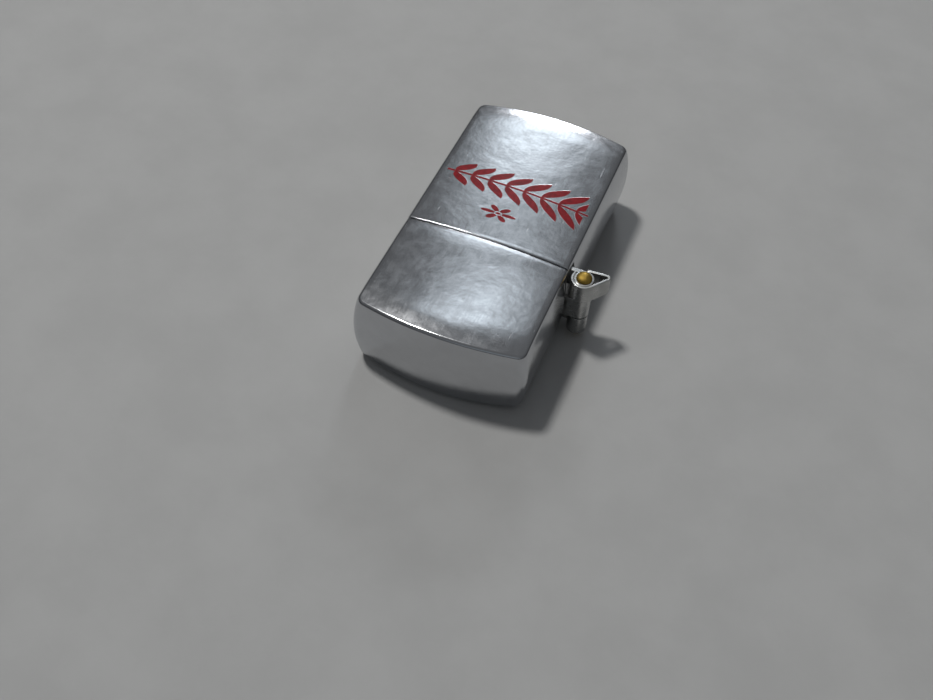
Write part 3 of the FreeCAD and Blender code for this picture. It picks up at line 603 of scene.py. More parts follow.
def case_chrome(name, printed):
    """Plated brass: grain along the case, milky handling marks, scratches and a worn rim."""
    case = sizes("case")
    centre = case_centre()
    material, tree, shader, place, marks = metal(name, case.chrome, 0.17, 0.12, 0.05, 0.20, 700.0,
                                                 depth=0.003, tone=0.97)
    axis = JOINTS["lid_hinge"]["pos_m"]
    local = mapped(tree, place, (1 / MM, 1 / MM, 1 / MM), (0, 0, 0),
                   (-centre.x / MM, -axis[1] / MM, -centre.z / MM))
    rim = remap(tree, calc(tree, "ABSOLUTE", parts_of(tree, local)[1]), 0.12, 0.34, 1.0, 0.0)
    nicks = noisy(tree, mapped(tree, local, (1.0, 0.1, 1.0)), 3.4, 2.0, 0.6)
    height = plus(tree, marks["Height"], times(tree, rim, nicks))
    wave = add_bump(tree, None, noisy(tree, local, 0.33, 3.0, 0.55), 0.035 * MM)
    if not printed:
        add_bump(tree, shader, height, 0.004 * MM, 1.0, wave)
        return material
    mask = use_group(tree, group_of("printed_ornament", [("Place", "NodeSocketVector", None)],
                                    [("Mask", "NodeSocketFloat")], build_ornament), Place=local)["Mask"]
    plating = shader.inputs["Base Color"].links[0].from_socket
    ink = blend(tree, remap(tree, noisy(tree, local, 2.2, 4.0), 0.35, 0.7), tuple(case.print_red),
                tuple(0.6 * part for part in case.print_red))
    tree.links.new(blend(tree, mask, plating, ink), shader.inputs["Base Color"])
    tree.links.new(less(tree, 1.0, mask), shader.inputs["Metallic"])
    rough = shader.inputs["Roughness"].links[0].from_socket
    tree.links.new(plus(tree, rough, times(tree, mask, 0.12)), shader.inputs["Roughness"])
    shader.inputs["Specular IOR Level"].default_value = 0.25
    add_bump(tree, shader, plus(tree, height, times(tree, mask, 2.0)), 0.004 * MM, 1.0, wave)
    return material


# ------------------------------------------------------------------ hinge and key-ring lug

def pin_axis(height=0.0):
    x, y, _ = JOINTS["lid_hinge"]["pos_m"]
    return Vector((x, y, height))


def rolled_knuckle(bm, way, low, high):
    """A sheet rolled round the pin, with the neck that joins it to its leaf."""
    hinge = sizes("hinge")
    start = hinge.knuckle - hinge.sheet * 1.35
    edges = strip_section(bm, pin_axis(low) + Vector((0, way * start, 0)),
                          (0, way * (hinge.knuckle - start), 0), high - low)
    inner = case_centre().x + sizes("case").width / 2 - sizes("case").wall
    reach = pin_axis().x - inner + hinge.leaf / 2
    bend_strip(bm, edges, pin_axis(), -way * math.radians(322), 36)
    run_strip(bm, edges, (-reach, 0, 0))
    close_ends(bm)


def leaf_plate(bm, way, node):
    """The curved leaf inside the case's wall."""
    case, hinge = sizes("case"), sizes("hinge")
    centre = case_centre()
    inner = case.width / 2 - case.wall
    low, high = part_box(node)
    near_seam = pin_axis().y + way * 0.16 * MM
    far = high.y if way > 0 else low.y
    z_low, z_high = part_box("lid_hinge_leaf")[0].z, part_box("lid_hinge_leaf")[1].z
    made = bmesh.new()
    block(made, (centre.x + inner - hinge.leaf, min(near_seam, far), z_low),
          (centre.x + inner, max(near_seam, far), z_high))
    slice_grid(made, 2, span(z_low, z_high, case.cell))
    half_height = (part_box("body_shell")[1].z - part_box("body_shell")[0].z) / 2 - case.crown
    for vert in made.verts:
        up = (vert.co.z - centre.z) / half_height
        vert.co.x += case.side_bulge * (1 - up * up)
    mesh = bpy.data.meshes.new("leaf")
    made.to_mesh(mesh)
    made.free()
    bm.from_mesh(mesh)
    bpy.data.meshes.remove(mesh)


def hinge_leaf(name, node, way, knuckles):
    bm = bmesh.new()
    for low, high in knuckles:
        rolled_knuckle(bm, way, low, high)
    leaf_plate(bm, way, node)
    piece = new_object(name, bm)
    return soften(piece, 0.06 * MM, 3, 40)


def lug_strip(bm):
    """The strap round the upper knuckle: round back, straight side, tight tip and straight side back."""
    hinge = sizes("hinge")
    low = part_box("keyring_lug")[0].z
    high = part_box("keyring_lug")[1].z
    axis = pin_axis(low)
    tip = axis + Vector((hinge.lug_reach, hinge.lug_rise, 0))
    outer = hinge.knuckle + hinge.strap
    heading = math.atan2(hinge.lug_rise, hinge.lug_reach)
    distance = (tip - axis).length
    lean = math.acos((outer - hinge.lug_tip) / distance)
    straight = math.sqrt(distance ** 2 - (outer - hinge.lug_tip) ** 2)
    lower, upper = heading - lean, heading + lean

    def spoke(angle):
        return Vector((math.cos(angle), math.sin(angle), 0))

    start = math.radians(152)
    edges = strip_section(bm, axis + spoke(start) * hinge.knuckle, spoke(start) * hinge.strap, high - low)
    edges = bend_strip(bm, edges, axis, lower + math.tau - start, 20)
    edges = run_strip(bm, edges, spoke(lower + math.pi / 2) * straight)
    edges = bend_strip(bm, edges, tip, upper - lower, 16)
    run_strip(bm, edges, spoke(upper + math.pi / 2) * straight)
    close_ends(bm)


def pin_piece():
    hinge = sizes("hinge")
    low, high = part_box("hinge_pin")
    barrel_low, barrel_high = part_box("body_hinge_leaf")[0].z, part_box("body_hinge_leaf")[1].z
    head = (high.x - low.x) / 2
    shank = hinge.knuckle / 2
    tail = shank * 1.45
    rise = high.z - barrel_high
    dome = [(head * math.cos(angle), barrel_high + rise * (0.12 + 0.88 * math.sin(angle)))
            for angle in (math.radians(step * 9) for step in range(10))]
    profile = [(0, low.z), (tail * 0.8, low.z), (tail, low.z + 0.08 * MM), (tail, barrel_low),
               (shank, barrel_low), (shank, barrel_high), (head * 0.97, barrel_high)] + dome + [(0, high.z)]
    bm = bmesh.new()
    lathe(bm, profile, pin_axis(), (0, 0, 1), 64)
    return new_object("pin", bm)


class LIGHTER_OT_hinge(bpy.types.Operator):
    """Build the hinge's leaves, its pin and the key-ring lug"""
    bl_idname = "lighter.hinge"
    bl_label = "Hinge"

    def execute(self, context):
        hinge = context.scene.lighter_hinge
        # the hinge's plating colour holds painted shade: it is darker than the case's chrome to stand in for
        # the shadowed floor its walls reflect
        plate = metal("hinge_plating", hinge.plate, 0.24, 0.14, 0.2, 0.2, 420.0, depth=0.004)[0]
        body_low, body_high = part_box("body_hinge_leaf")
        lug_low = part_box("keyring_lug")[0].z
        first = body_low.z + hinge.lower
        body = hinge_leaf("hinge_leaf_body", "body_hinge_leaf", 1,
                          [(body_low.z, first), (lug_low, body_high.z)])
        dress(body, "case", "hinge_chrome", plate, "body_hinge_leaf")
        lid = hinge_leaf("hinge_leaf_lid", "lid_hinge_leaf", -1, [(first + hinge.gap, lug_low - hinge.gap)])
        dress(lid, "lid", "hinge_chrome", plate, "lid_hinge_leaf")
        bm = bmesh.new()
        lug_strip(bm)
        lug = new_object("lug", bm)
        soften(lug, 0.07 * MM, 3, 40)
        dress(lug, "case", "hinge_chrome", plate, "keyring_lug")
        brass = metal("pin_brass", hinge.brass, 0.30, 0.18, 0.25, 0.15, 700.0, depth=0.004, tone=0.55)[0]
        dress(pin_piece(), "case", "pin_brass", brass, "hinge_pin")
        return {"FINISHED"}


# ------------------------------------------------------------------ insert

TUBE_CORNER = 1.2 * MM          # corners of the chimney's tube and cheeks
CHEEK_GAP = 0.3 * MM            # tube to wheel, and tube to cam
WHEEL_CHEEK, CAM_CHEEK = 1.6 * MM, 1.9 * MM      # cheeks beyond their rivets
WINDOW_HALF = 2.2 * MM          # opening beside the wheel
CAM_HUB, CAM_LOBE = 1.25 * MM, 0.475 * MM        # radii round the cam's pivot and round its lobe
CAM_LOBE_ACROSS, CAM_LOBE_ALONG = 1.76 * MM, 1.29 * MM
CAM_FOOT_HALF, CAM_SLOT_HALF = 0.85 * MM, 1.45 * MM
WHEEL_SHOULDER = 0.55 * MM      # plain rims beside the wheel's teeth
RIVET_RISE = 0.3 * MM
RUNNING_GAP = 0.04 * MM         # bores round their rivets


def insert_block(inset, start, end):
    """A straight length of the tank's section."""
    case = sizes("case")
    low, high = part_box("insert_case")
    centre = case_centre()
    half = (high.x - low.x) / 2 - inset
    edge_half = (high.z - low.z) / 2 - case.crown - inset
    bm = bmesh.new()
    block(bm, (centre.x - half, start, centre.z - edge_half), (centre.x + half, end, centre.z + edge_half))
    bevel(bm, [edge for edge in bm.edges if near(edge.verts[0].co.z, edge.verts[1].co.z)
               and not near(edge.verts[0].co.y, edge.verts[1].co.y)], max(0.55 * MM - inset, 0.1 * MM), 5)
    slice_grid(bm, 0, span(centre.x - half + 0.6 * MM, centre.x + half - 0.6 * MM, case.cell * 2))
    for vert in bm.verts:
        vert.co = swollen(vert.co, centre, half, edge_half, case.crown)
    return bm


def tank():
    insert = sizes("insert")
    low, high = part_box("insert_case")
    piece = new_object("tank", insert_block(0, low.y, high.y))
    combine(piece, new_object("room", insert_block(insert.wall, low.y - MM, high.y + MM)), "DIFFERENCE")
    return soften(piece, 0.05 * MM, 2, 50)


def round_hole(piece, centre, radius, axis, reach):
    """Cut a round hole through a piece."""
    bm = bmesh.new()
    axis = Vector(axis)
    bmesh.ops.create_cone(bm, cap_ends=True, segments=32, radius1=radius, radius2=radius, depth=reach)
    turn = UP.rotation_difference(axis).to_matrix()
    bmesh.ops.rotate(bm, cent=(0, 0, 0), matrix=turn, verts=bm.verts[:])
    bmesh.ops.translate(bm, vec=Vector(centre), verts=bm.verts[:])
    combine(piece, new_object("hole", bm), "DIFFERENCE")


def square_hole(piece, low, high):
    bm = bmesh.new()
    block(bm, low, high)
    combine(piece, new_object("hole", bm), "DIFFERENCE")


def top_plate():
    insert = sizes("insert")
    low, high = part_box("insert_top_plate")
    piece = new_object("deck", insert_block(insert.wall, low.y, high.y))
    middle = (low.y + high.y) / 2
    wick_low, wick_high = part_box("wick")
    cam_low, cam_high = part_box("cam_lever")
    tube_low, tube_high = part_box("flint_tube")
    thick = 4 * (high.y - low.y)
    for part_low, part_high, spare in ((wick_low, wick_high, 0.15 * MM), (tube_low, tube_high, 0.02 * MM)):
        centre = (part_low + part_high) / 2
        radius = (part_high.x - part_low.x) / 2 + spare
        round_hole(piece, (centre.x, middle, centre.z), radius, (0, 1, 0), thick)
    pivot = JOINTS["cam_pivot"]["pos_m"]
    square_hole(piece, (pivot[0] - CAM_SLOT_HALF, low.y - MM, cam_low.z - 0.2 * MM),
                (pivot[0] + CAM_SLOT_HALF, high.y + MM, cam_high.z + 0.2 * MM))
    return soften(piece, 0.05 * MM, 2, 40)


class LIGHTER_OT_tank(bpy.types.Operator):
    """Build the insert's tank and its top plate"""
    bl_idname = "lighter.tank"
    bl_label = "Tank"

    def execute(self, context):
        insert = context.scene.lighter_insert
        steel = metal("tank_steel", insert.steel, 0.26, 0.22, 0.16, 0.18, 260.0, depth=0.004)[0]
        dress(tank(), "case", "insert_steel", steel, "insert_case")
        dress(top_plate(), "case", "insert_steel", steel, "insert_top_plate")
        return {"FINISHED"}


def folded_tube(low, high, inset, ends, corner):
    """A block with rounded long edges, along Y."""
    bm = bmesh.new()
    block(bm, (low.x + inset, ends[0], low.z + inset), (high.x - inset, ends[1], high.z - inset))
    bevel(bm, [edge for edge in bm.edges if not near(edge.verts[0].co.y, edge.verts[1].co.y)],
          corner - inset, 8)
    return bm


def cheek(low, high, corner_x, radius):
    """A flat plate with its outer top corner rounded."""
    bm = bmesh.new()
    block(bm, low, high)
    bevel(bm, [edge for edge in bm.edges if not near(edge.verts[0].co.z, edge.verts[1].co.z)
               and near(edge.verts[0].co.x, corner_x) and near(edge.verts[0].co.y, low[1])], radius, 8)
    return new_object("cheek", bm)


def windscreen():
    """Chimney: a folded tube with three rows of vents and two pairs of cheeks."""
    insert = sizes("insert")
    low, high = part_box("chimney")
    wheel, cam = Vector(JOINTS["wheel_spin"]["pos_m"]), Vector(JOINTS["cam_pivot"]["pos_m"])
    wheel_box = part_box("flint_wheel")
    left = wheel_box[1].x + CHEEK_GAP
    right = cam.x - CAM_HUB - CHEEK_GAP
    corner = TUBE_CORNER
    tube_low, tube_high = Vector((left, low.y, low.z)), Vector((right, high.y, high.z))
    piece = new_object("chimney_sheet", folded_tube(tube_low, tube_high, 0, (low.y, high.y), corner))
    for z_low in (low.z, high.z - insert.sheet):
        z_high = z_low + insert.sheet
        plate = cheek((low.x, wheel.y - WHEEL_CHEEK, z_low), (left + corner, high.y, z_high), low.x, corner)
        combine(piece, plate, "UNION")
        plate = cheek((right - corner, cam.y - CAM_CHEEK, z_low), (high.x, high.y, z_high), high.x, corner)
        combine(piece, plate, "UNION")
    flue = folded_tube(tube_low, tube_high, insert.sheet, (low.y - MM, high.y + MM), corner)
    hollow = new_object("flue", flue)
    combine(piece, hollow, "DIFFERENCE")
    middle = (left + right) / 2
    depth = 2 * (high.z - low.z)
    mid_z = (high.z + low.z) / 2
    for row, shifts in enumerate(((-1, 0, 1), (-0.5, 0.5), (-1, 0, 1))):
        for shift in shifts:
            place = (middle + shift * insert.vent_pitch,
                     high.y - insert.vent_first - row * insert.vent_pitch, mid_z)
            round_hole(piece, place, insert.vent, (0, 0, 1), depth)
    reach = (high.z - low.z) / 2 - corner
    square_hole(piece, (left - MM, wheel.y - WINDOW_HALF, mid_z - reach),
                (left + insert.sheet + MM, wheel.y + WINDOW_HALF, mid_z + reach))
    return soften(piece, 0.06 * MM, 2, 40)


class LIGHTER_OT_chimney(bpy.types.Operator):
    """Build the chimney with its vents and cheeks"""
    bl_idname = "lighter.chimney"
    bl_label = "Chimney"

    def execute(self, context):
        insert = context.scene.lighter_insert
        material, tree, shader, place, marks = metal("chimney_steel", insert.steel, 0.30, 0.22, 0.2, 0.2,
                                                     320.0, depth=0.004)
        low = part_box("chimney")[0]
        height = plus(tree, parts_of(tree, place)[1],
                      times(tree, less(tree, noisy(tree, place, 420.0), 0.5), 3 * MM))
        soot = remap(tree, height, low.y, low.y + 5.5 * MM, 0.75, 0.0)
        plating = shader.inputs["Base Color"].links[0].from_socket
        tree.links.new(blend(tree, soot, plating, (0.10, 0.07, 0.045)), shader.inputs["Base Color"])
        tree.links.new(plus(tree, marks["Roughness"], times(tree, soot, 0.3)),
                       shader.inputs["Roughness"])
        dress(windscreen(), "case", "insert_steel", material, "chimney")
        return {"FINISHED"}


# ------------------------------------------------------------------ wheel, cam and rivets

def rivet(name, node):
    """A rivet along Z with two domed heads."""
    insert = sizes("insert")
    low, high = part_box(node)
    head = (high.x - low.x) / 2
    rise = RIVET_RISE
    bend = [(head, 0.25), (head * 0.93, 0.62), (head * 0.72, 0.88), (head * 0.4, 0.98)]
    profile = [(0, low.z)] + [(r, low.z + rise * (1 - t)) for r, t in reversed(bend)]
    profile += [(head, low.z + rise), (insert.axle, low.z + rise), (insert.axle, high.z - rise),
                (head, high.z - rise)]
    profile += [(r, high.z - rise * (1 - t)) for r, t in bend] + [(0, high.z)]
    bm = bmesh.new()
    lathe(bm, profile, ((low.x + high.x) / 2, (low.y + high.y) / 2, 0), (0, 0, 1), 40)
    return new_object(name, bm)


def striking_wheel():
    """A hardened wheel: serrated rim between two plain shoulders, bored for its axle."""
    insert = sizes("insert")
    low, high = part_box("flint_wheel")
    centre = Vector(JOINTS["wheel_spin"]["pos_m"])
    radius = (high.x - low.x) / 2
    bore = insert.axle + RUNNING_GAP
    shoulder = WHEEL_SHOULDER
    bm = bmesh.new()
    around = insert.teeth * 2
    levels = (low.z, low.z + shoulder, high.z - shoulder, high.z)
    rings = []
    for level in levels:
        ring = bmesh.ops.create_circle(bm, segments=around * 2, radius=radius - insert.tooth)["verts"]
        bmesh.ops.translate(bm, vec=(0, 0, level), verts=ring)
        rings.append(ring)
    loops = [[edge for edge in bm.edges if all(vert in ring for vert in edge.verts)] for ring in rings]
    for first, second in zip(loops, loops[1:]):
        bmesh.ops.bridge_loops(bm, edges=first + second)
    holes = []
    for ring, level in ((rings[0], levels[0]), (rings[-1], levels[-1])):
        hole = bmesh.ops.create_circle(bm, segments=around * 2, radius=bore)["verts"]
        bmesh.ops.translate(bm, vec=(0, 0, level), verts=hole)
        edges = [edge for edge in bm.edges if all(vert in hole for vert in edge.verts)]
        outer = loops[0] if level == levels[0] else loops[-1]
        bmesh.ops.bridge_loops(bm, edges=outer + edges)
        holes.append(edges)
    bmesh.ops.bridge_loops(bm, edges=holes[0] + holes[1])
    slices = span(levels[1], levels[2], 0.5 * MM)
    slice_grid(bm, 2, slices)
    for vert in bm.verts:
        out = Vector((vert.co.x, vert.co.y)).length
        if out > radius - 2 * insert.tooth and levels[1] - 1e-7 < vert.co.z < levels[2] + 1e-7:
            angle = math.atan2(vert.co.y, vert.co.x) / math.tau * around * 2
            if round(angle) % 4 < 2:
                vert.co.xy = vert.co.xy * (radius / out)
    bmesh.ops.translate(bm, vec=(centre.x, centre.y, 0), verts=bm.verts[:])
    piece = new_object("striker", bm, False)
    edge_bevel(piece, 0.03 * MM, 1, 30)
    return piece


def snap_cam():
    """The lever that snaps the lid: hub and lobe over a flat foot, bored for its rivet."""
    insert = sizes("insert")
    low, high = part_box("cam_lever")
    pivot = Vector(JOINTS["cam_pivot"]["pos_m"])
    bm = bmesh.new()
    ends = ((Vector((pivot.x, pivot.y, 0)), CAM_HUB),
            (Vector((pivot.x + CAM_LOBE_ACROSS, pivot.y - CAM_LOBE_ALONG, 0)), CAM_LOBE))
    for centre, radius in ends:
        ring = bmesh.ops.create_circle(bm, segments=40, radius=radius)["verts"]
        bmesh.ops.translate(bm, vec=(centre.x, centre.y, low.z), verts=ring)
    hull = bmesh.ops.convex_hull(bm, input=bm.verts[:])
    bmesh.ops.delete(bm, geom=list(set(hull["geom_interior"])), context="VERTS")
    bmesh.ops.dissolve_limit(bm, angle_limit=0.01, verts=bm.verts[:], edges=bm.edges[:])
    face = max(bm.faces, key=lambda item: item.calc_area())
    bmesh.ops.delete(bm, geom=[item for item in bm.faces if item is not face], context="FACES_ONLY")
    raised = bmesh.ops.extrude_face_region(bm, geom=[face])["geom"]
    top = [item for item in raised if isinstance(item, bmesh.types.BMVert)]
    bmesh.ops.translate(bm, vec=(0, 0, high.z - low.z), verts=top)
    if not any(near(item.calc_center_median().z, low.z) for item in bm.faces):
        close_ends(bm)
    piece = new_object("cam", bm)
    foot = bmesh.new()
    block(foot, (pivot.x - CAM_FOOT_HALF, pivot.y, low.z + 0.001 * MM),
          (pivot.x + CAM_FOOT_HALF, high.y, high.z - 0.001 * MM))
    combine(piece, new_object("foot", foot), "UNION")
    round_hole(piece, (pivot.x, pivot.y, (low.z + high.z) / 2), insert.axle + RUNNING_GAP, (0, 0, 1), 4 * MM)
    return soften(piece, 0.08 * MM, 3, 40)


class LIGHTER_OT_igniter(bpy.types.Operator):
    """Build the striking wheel, the snap cam and their rivets"""
    bl_idname = "lighter.igniter"
    bl_label = "Igniter"

    def execute(self, context):
        insert = context.scene.lighter_insert
        rivet_steel = metal("rivet_steel", insert.steel, 0.3, 0.15, 0.2, 0.15, 600.0)[0]
        dress(rivet("wheel_rivet", "wheel_axle"), "case", "rivet_steel", rivet_steel, "wheel_axle")
        dress(rivet("cam_pin", "cam_rivet"), "case", "rivet_steel", rivet_steel, "cam_rivet")
        wheel_steel = metal("wheel_steel", insert.dark_steel, 0.42, 0.2, 0.2, 0.3, 900.0, depth=0.01)[0]
        dress(striking_wheel(), "wheel", "wheel_steel", wheel_steel, "flint_wheel")
        cam_steel = metal("cam_steel", insert.steel, 0.22, 0.2, 0.15, 0.2, 500.0)[0]
        dress(snap_cam(), "cam", "cam_steel", cam_steel, "cam_lever")
        return {"FINISHED"}


# ------------------------------------------------------------------ wick and inner parts

def braided_wick():
    """A braided cord, slightly uneven and frayed at its burnt end."""
    low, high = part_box("wick")
    radius = (high.x - low.x) / 2
    centre = Vector(((low.x + high.x) / 2, 0, (low.z + high.z) / 2))
    bm = bmesh.new()
    made = bmesh.ops.create_cone(bm, cap_ends=True, segments=48, radius1=radius * 0.93, radius2=radius * 0.93,
                                 depth=high.y - low.y)["verts"]
    bmesh.ops.rotate(bm, cent=(0, 0, 0), matrix=Matrix.Rotation(math.radians(90), 3, "X"), verts=made)
    bmesh.ops.translate(bm, vec=(centre.x, (low.y + high.y) / 2, centre.z), verts=made)
    slice_grid(bm, 1, span(low.y, high.y, 0.16 * MM))
    for vert in bm.verts:
        arm = vert.co - Vector((centre.x, vert.co.y, centre.z))
        angle = math.atan2(arm.z, arm.x)
        along = (vert.co.y - low.y) / (1.5 * MM) * math.tau
        weave = math.sin(6 * angle + along) * math.sin(6 * angle - along)
        fray = max(0.0, 1 - (vert.co.y - low.y) / (1.2 * MM))
        ragged = noise.noise(vert.co * 2600) * fray * 0.35
        vert.co = vert.co - arm + arm * (1 + 0.055 * weave - 0.25 * fray * fray + ragged * 0.4)
        vert.co.y = max(low.y, vert.co.y + abs(ragged) * 0.9 * MM * fray)
    return new_object("cord", bm)


def cotton(name, rgb, burnt=None):
    """Cotton yarn: fine fibres, slightly stained; burnt towards one end if asked."""
    material, tree, shader, place = new_material(name)
    fibre = noisy(tree, mapped(tree, place, (1.0, 0.25, 1.0), (0, 0, 0.6)), 6500.0, 3.0, 0.6)
    stain = remap(tree, noisy(tree, place, 600.0, 3.0), 0.35, 0.7)
    cloth = blend(tree, stain, tuple(rgb), tuple(0.72 * part for part in rgb))
    if burnt is not None:
        edge = plus(tree, parts_of(tree, place)[1],
                    times(tree, less(tree, noisy(tree, place, 1500.0), 0.5), 1.2 * MM))
        char = remap(tree, edge, burnt, burnt + 2.2 * MM, 1.0, 0.0)
        cloth = blend(tree, char, cloth, (0.012, 0.010, 0.009))
    tree.links.new(cloth, shader.inputs["Base Color"])
    shader.inputs["Roughness"].default_value = 0.92
    add_bump(tree, shader, fibre, 0.05 * MM)
    return material


class LIGHTER_OT_wick(bpy.types.Operator):
    """Build the wick"""
    bl_idname = "lighter.wick"
    bl_label = "Wick"

    def execute(self, context):
        insert = context.scene.lighter_insert
        material = cotton("wick_cotton", insert.cotton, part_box("wick")[0].y + 0.4 * MM)
        dress(braided_wick(), "case", "wick_cotton", material, "wick")
        return {"FINISHED"}


class LIGHTER_OT_inner_parts(bpy.types.Operator):
    """Finish the parts inside the tank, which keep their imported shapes"""
    bl_idname = "lighter.inner_parts"
    bl_label = "Inner parts"

    def execute(self, context):
        insert, hinge = context.scene.lighter_insert, context.scene.lighter_hinge
        brass = metal("tube_brass", hinge.brass, 0.34, 0.2, 0.2, 0.15, 420.0, tone=0.7)[0]
        spring = metal("spring_steel", [0.45, 0.44, 0.43], 0.3, 0.15, 0.2, 0.15, 700.0)[0]
        alloy = metal("flint_alloy", [0.30, 0.29, 0.28], 0.55, 0.3, 0.2, 0.2, 1200.0, depth=0.01)[0]
        finishes = {"flint_tube": brass, "spring_plug": brass, "flint_screw": brass, "flint": alloy,
                    "flint_spring": spring, "cam_spring": spring, "cam_spring_rivet": spring,
                    "wick_packing": cotton("packing_cotton", (0.80, 0.78, 0.72)),
                    "felt_pad": cotton("pad_felt", (0.44, 0.42, 0.38))}
        for node, material in finishes.items():
            piece = bpy.data.objects[node]
            piece.data.materials.clear()
            piece.data.materials.append(material)
        return {"FINISHED"}


# ------------------------------------------------------------------ stage

# panes of light in the room: turn, rise, half width and half height in degrees, and strength
PANES = ((105.5, 37.5, 8, 5.0, 2.6), (107, 52.5, 8.5, 3.2, 2.1), (290, 28, 34, 16, 0.26))
PANE_TINT = (0.88, 0.97, 1.04)
PANE_CORE, PANE_FADE = 0.35, 1.45      # full strength inside, nothing outside, in half widths
ROOM_LOW, ROOM_HIGH = (0.050, 0.051, 0.054), (0.14, 0.144, 0.150)
# lamps: name, turn and rise in degrees, distance, width and height in metres, watts and tint
LAMPS = (("main", 160, 67.5, 0.9, 0.10, 0.10, 3.5, (1.0, 0.99, 0.97)),
         ("far", 103, 25, 0.9, 0.16, 0.08, 1.0, (0.93, 0.96, 1.0)))


def paper():
    stage = sizes("stage")
    material, tree, shader, place = new_material("floor_paper")
    mottle = noisy(tree, place, 90.0, 5.0, 0.6)
    tone = blend(tree, remap(tree, mottle, 0.3, 0.7), tuple(stage.paper),
                 tuple(0.93 * part for part in stage.paper))
    tree.links.new(tone, shader.inputs["Base Color"])
    shader.inputs["Roughness"].default_value = 0.85
    add_bump(tree, shader, noisy(tree, place, 2600.0, 3.0), 0.02 * MM, 0.6)
    return material


def soft_light(name, way, distance, width, height, power, tint=(1, 1, 1)):
    """A rectangular soft light that shines on the lighter from one direction."""
    data = bpy.data.lights.new(name, "AREA")
    data.shape = "RECTANGLE"
    data.size, data.size_y = width, height
    data.energy = power
    data.color = tint
    lamp = bpy.data.objects.new(name, data)
    way = Vector(way).normalized()
    lamp.matrix_world = Matrix.Translation(way * distance) @ way.to_track_quat("Z", "Y").to_matrix().to_4x4()
    bpy.context.scene.collection.objects.link(lamp)


def compass(turn, rise):
    """The direction at an angle round from +X and a height angle, both in degrees."""
    turn, rise = math.radians(turn), math.radians(rise)
    return Vector((math.cos(turn) * math.cos(rise), math.sin(turn) * math.cos(rise), math.sin(rise)))


def turned_towards(tree, place, way):
    """The share of a direction that points one way."""
    node = tree.nodes.new("ShaderNodeVectorMath")
    node.operation = "DOT_PRODUCT"
    tree.links.new(place, node.inputs[0])
    node.inputs[1].default_value = way
    return node.outputs["Value"]


def sky():
    """A grey room, brighter overhead, with soft panes of daylight behind and in front."""
    world = bpy.data.worlds.new("room")
    bpy.context.scene.world = world
    world.use_nodes = True
    tree = world.node_tree
    back = tree.nodes["Background"]
    place = tree.nodes.new("ShaderNodeTexCoord").outputs["Generated"]
    room = blend(tree, remap(tree, parts_of(tree, place)[2], 0.0, 0.95), ROOM_LOW, ROOM_HIGH)
    for turn, rise, width, height, strength in PANES:
        middle = compass(turn, rise)
        beside = UP.cross(middle).normalized() / math.sin(math.radians(width))
        above = middle.cross(beside).normalized() / math.sin(math.radians(height))
        facing, across, up = [turned_towards(tree, place, way) for way in (middle, beside, above)]
        spread = calc(tree, "SQRT", plus(tree, times(tree, across, across),
                                         times(tree, up, up)))
        ahead = calc(tree, "GREATER_THAN", facing, 0.0)
        glow = times(tree, remap(tree, spread, PANE_CORE, PANE_FADE, 1.0, 0.0), ahead)
        room = blend(tree, glow, room, tuple(strength * part for part in PANE_TINT))
    tree.links.new(room, back.inputs["Color"])
    back.inputs["Strength"].default_value = 1.0


def aim_camera():
    stage = sizes("stage")
    data = bpy.data.cameras.new("camera")
    data.lens = stage.lens
    data.sensor_width = 36.0
    data.clip_start, data.clip_end = 0.005, 20.0
    camera = bpy.data.objects.new("camera", data)
    back = Vector((math.sin(stage.azimuth) * math.cos(stage.elevation),
                   -math.cos(stage.azimuth) * math.cos(stage.elevation), math.sin(stage.elevation)))
    right = (-back).cross(UP).normalized()
    above = right.cross(-back)
    turned = right * math.cos(stage.roll) + above * math.sin(stage.roll)
    above = above * math.cos(stage.roll) - right * math.sin(stage.roll)
    spot = Vector(stage.aim) + back * stage.distance
    camera.matrix_world = Matrix((
        (turned.x, above.x, back.x, spot.x), (turned.y, above.y, back.y, spot.y),
        (turned.z, above.z, back.z, spot.z), (0, 0, 0, 1)))
    bpy.context.scene.collection.objects.link(camera)
    bpy.context.scene.camera = camera


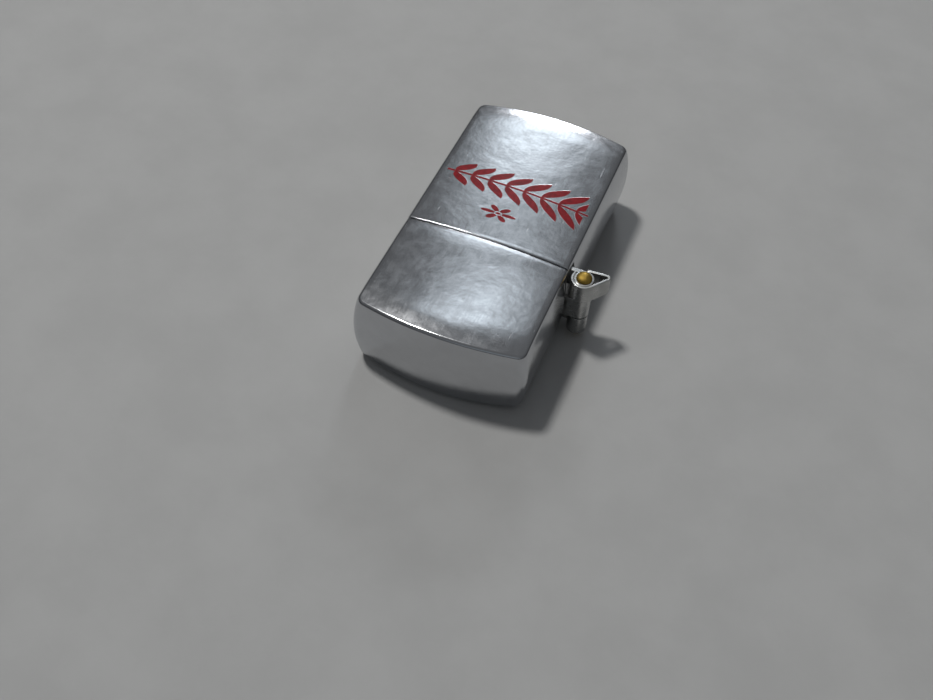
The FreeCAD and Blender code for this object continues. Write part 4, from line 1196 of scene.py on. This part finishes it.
class LIGHTER_OT_stage(bpy.types.Operator):
    """Lay the floor, light it and place the camera"""
    bl_idname = "lighter.stage"
    bl_label = "Stage"

    def execute(self, context):
        bm = bmesh.new()
        bmesh.ops.create_grid(bm, x_segments=1, y_segments=1, size=0.6)
        floor = new_object("floor", bm)
        floor.data.materials.append(paper())
        sky()
        context.scene.view_settings.view_transform = "Standard"
        for name, turn, rise, *rest in LAMPS:
            soft_light(name, compass(turn, rise), *rest)
        aim_camera()
        return {"FINISHED"}


# ------------------------------------------------------------------ panel and run

PROPERTY_GROUPS = {"lighter_case": LighterCase, "lighter_hinge": LighterHinge,
                   "lighter_insert": LighterInsert, "lighter_stage": LighterStage}
OPERATORS = (LIGHTER_OT_case, LIGHTER_OT_hinge, LIGHTER_OT_tank, LIGHTER_OT_chimney, LIGHTER_OT_igniter,
             LIGHTER_OT_wick, LIGHTER_OT_inner_parts, LIGHTER_OT_stage)


class LIGHTER_PT_panel(bpy.types.Panel):
    """Sizes, colours and build steps"""
    bl_label = "Lighter"
    bl_idname = "LIGHTER_PT_panel"
    bl_space_type = "VIEW_3D"
    bl_region_type = "UI"
    bl_category = "Lighter"

    def draw(self, context):
        for attribute, group in PROPERTY_GROUPS.items():
            section = self.layout.box()
            for name in group.__annotations__:
                section.prop(getattr(context.scene, attribute), name)
        for operator in OPERATORS:
            self.layout.operator(operator.bl_idname)


def register():
    for group in PROPERTY_GROUPS.values():
        bpy.utils.register_class(group)
    for operator in OPERATORS:
        bpy.utils.register_class(operator)
    bpy.utils.register_class(LIGHTER_PT_panel)
    for attribute, group in PROPERTY_GROUPS.items():
        setattr(bpy.types.Scene, attribute, PointerProperty(type=group))


def unregister():
    for attribute in PROPERTY_GROUPS:
        delattr(bpy.types.Scene, attribute)
    bpy.utils.unregister_class(LIGHTER_PT_panel)
    for operator in reversed(OPERATORS):
        bpy.utils.unregister_class(operator)
    for group in reversed(PROPERTY_GROUPS.values()):
        bpy.utils.unregister_class(group)


def main():
    register()
    for step in (bpy.ops.lighter.stage, bpy.ops.lighter.case, bpy.ops.lighter.hinge, bpy.ops.lighter.tank,
                 bpy.ops.lighter.chimney, bpy.ops.lighter.igniter, bpy.ops.lighter.wick,
                 bpy.ops.lighter.inner_parts):
        step()


if __name__ == "__main__":
    main()
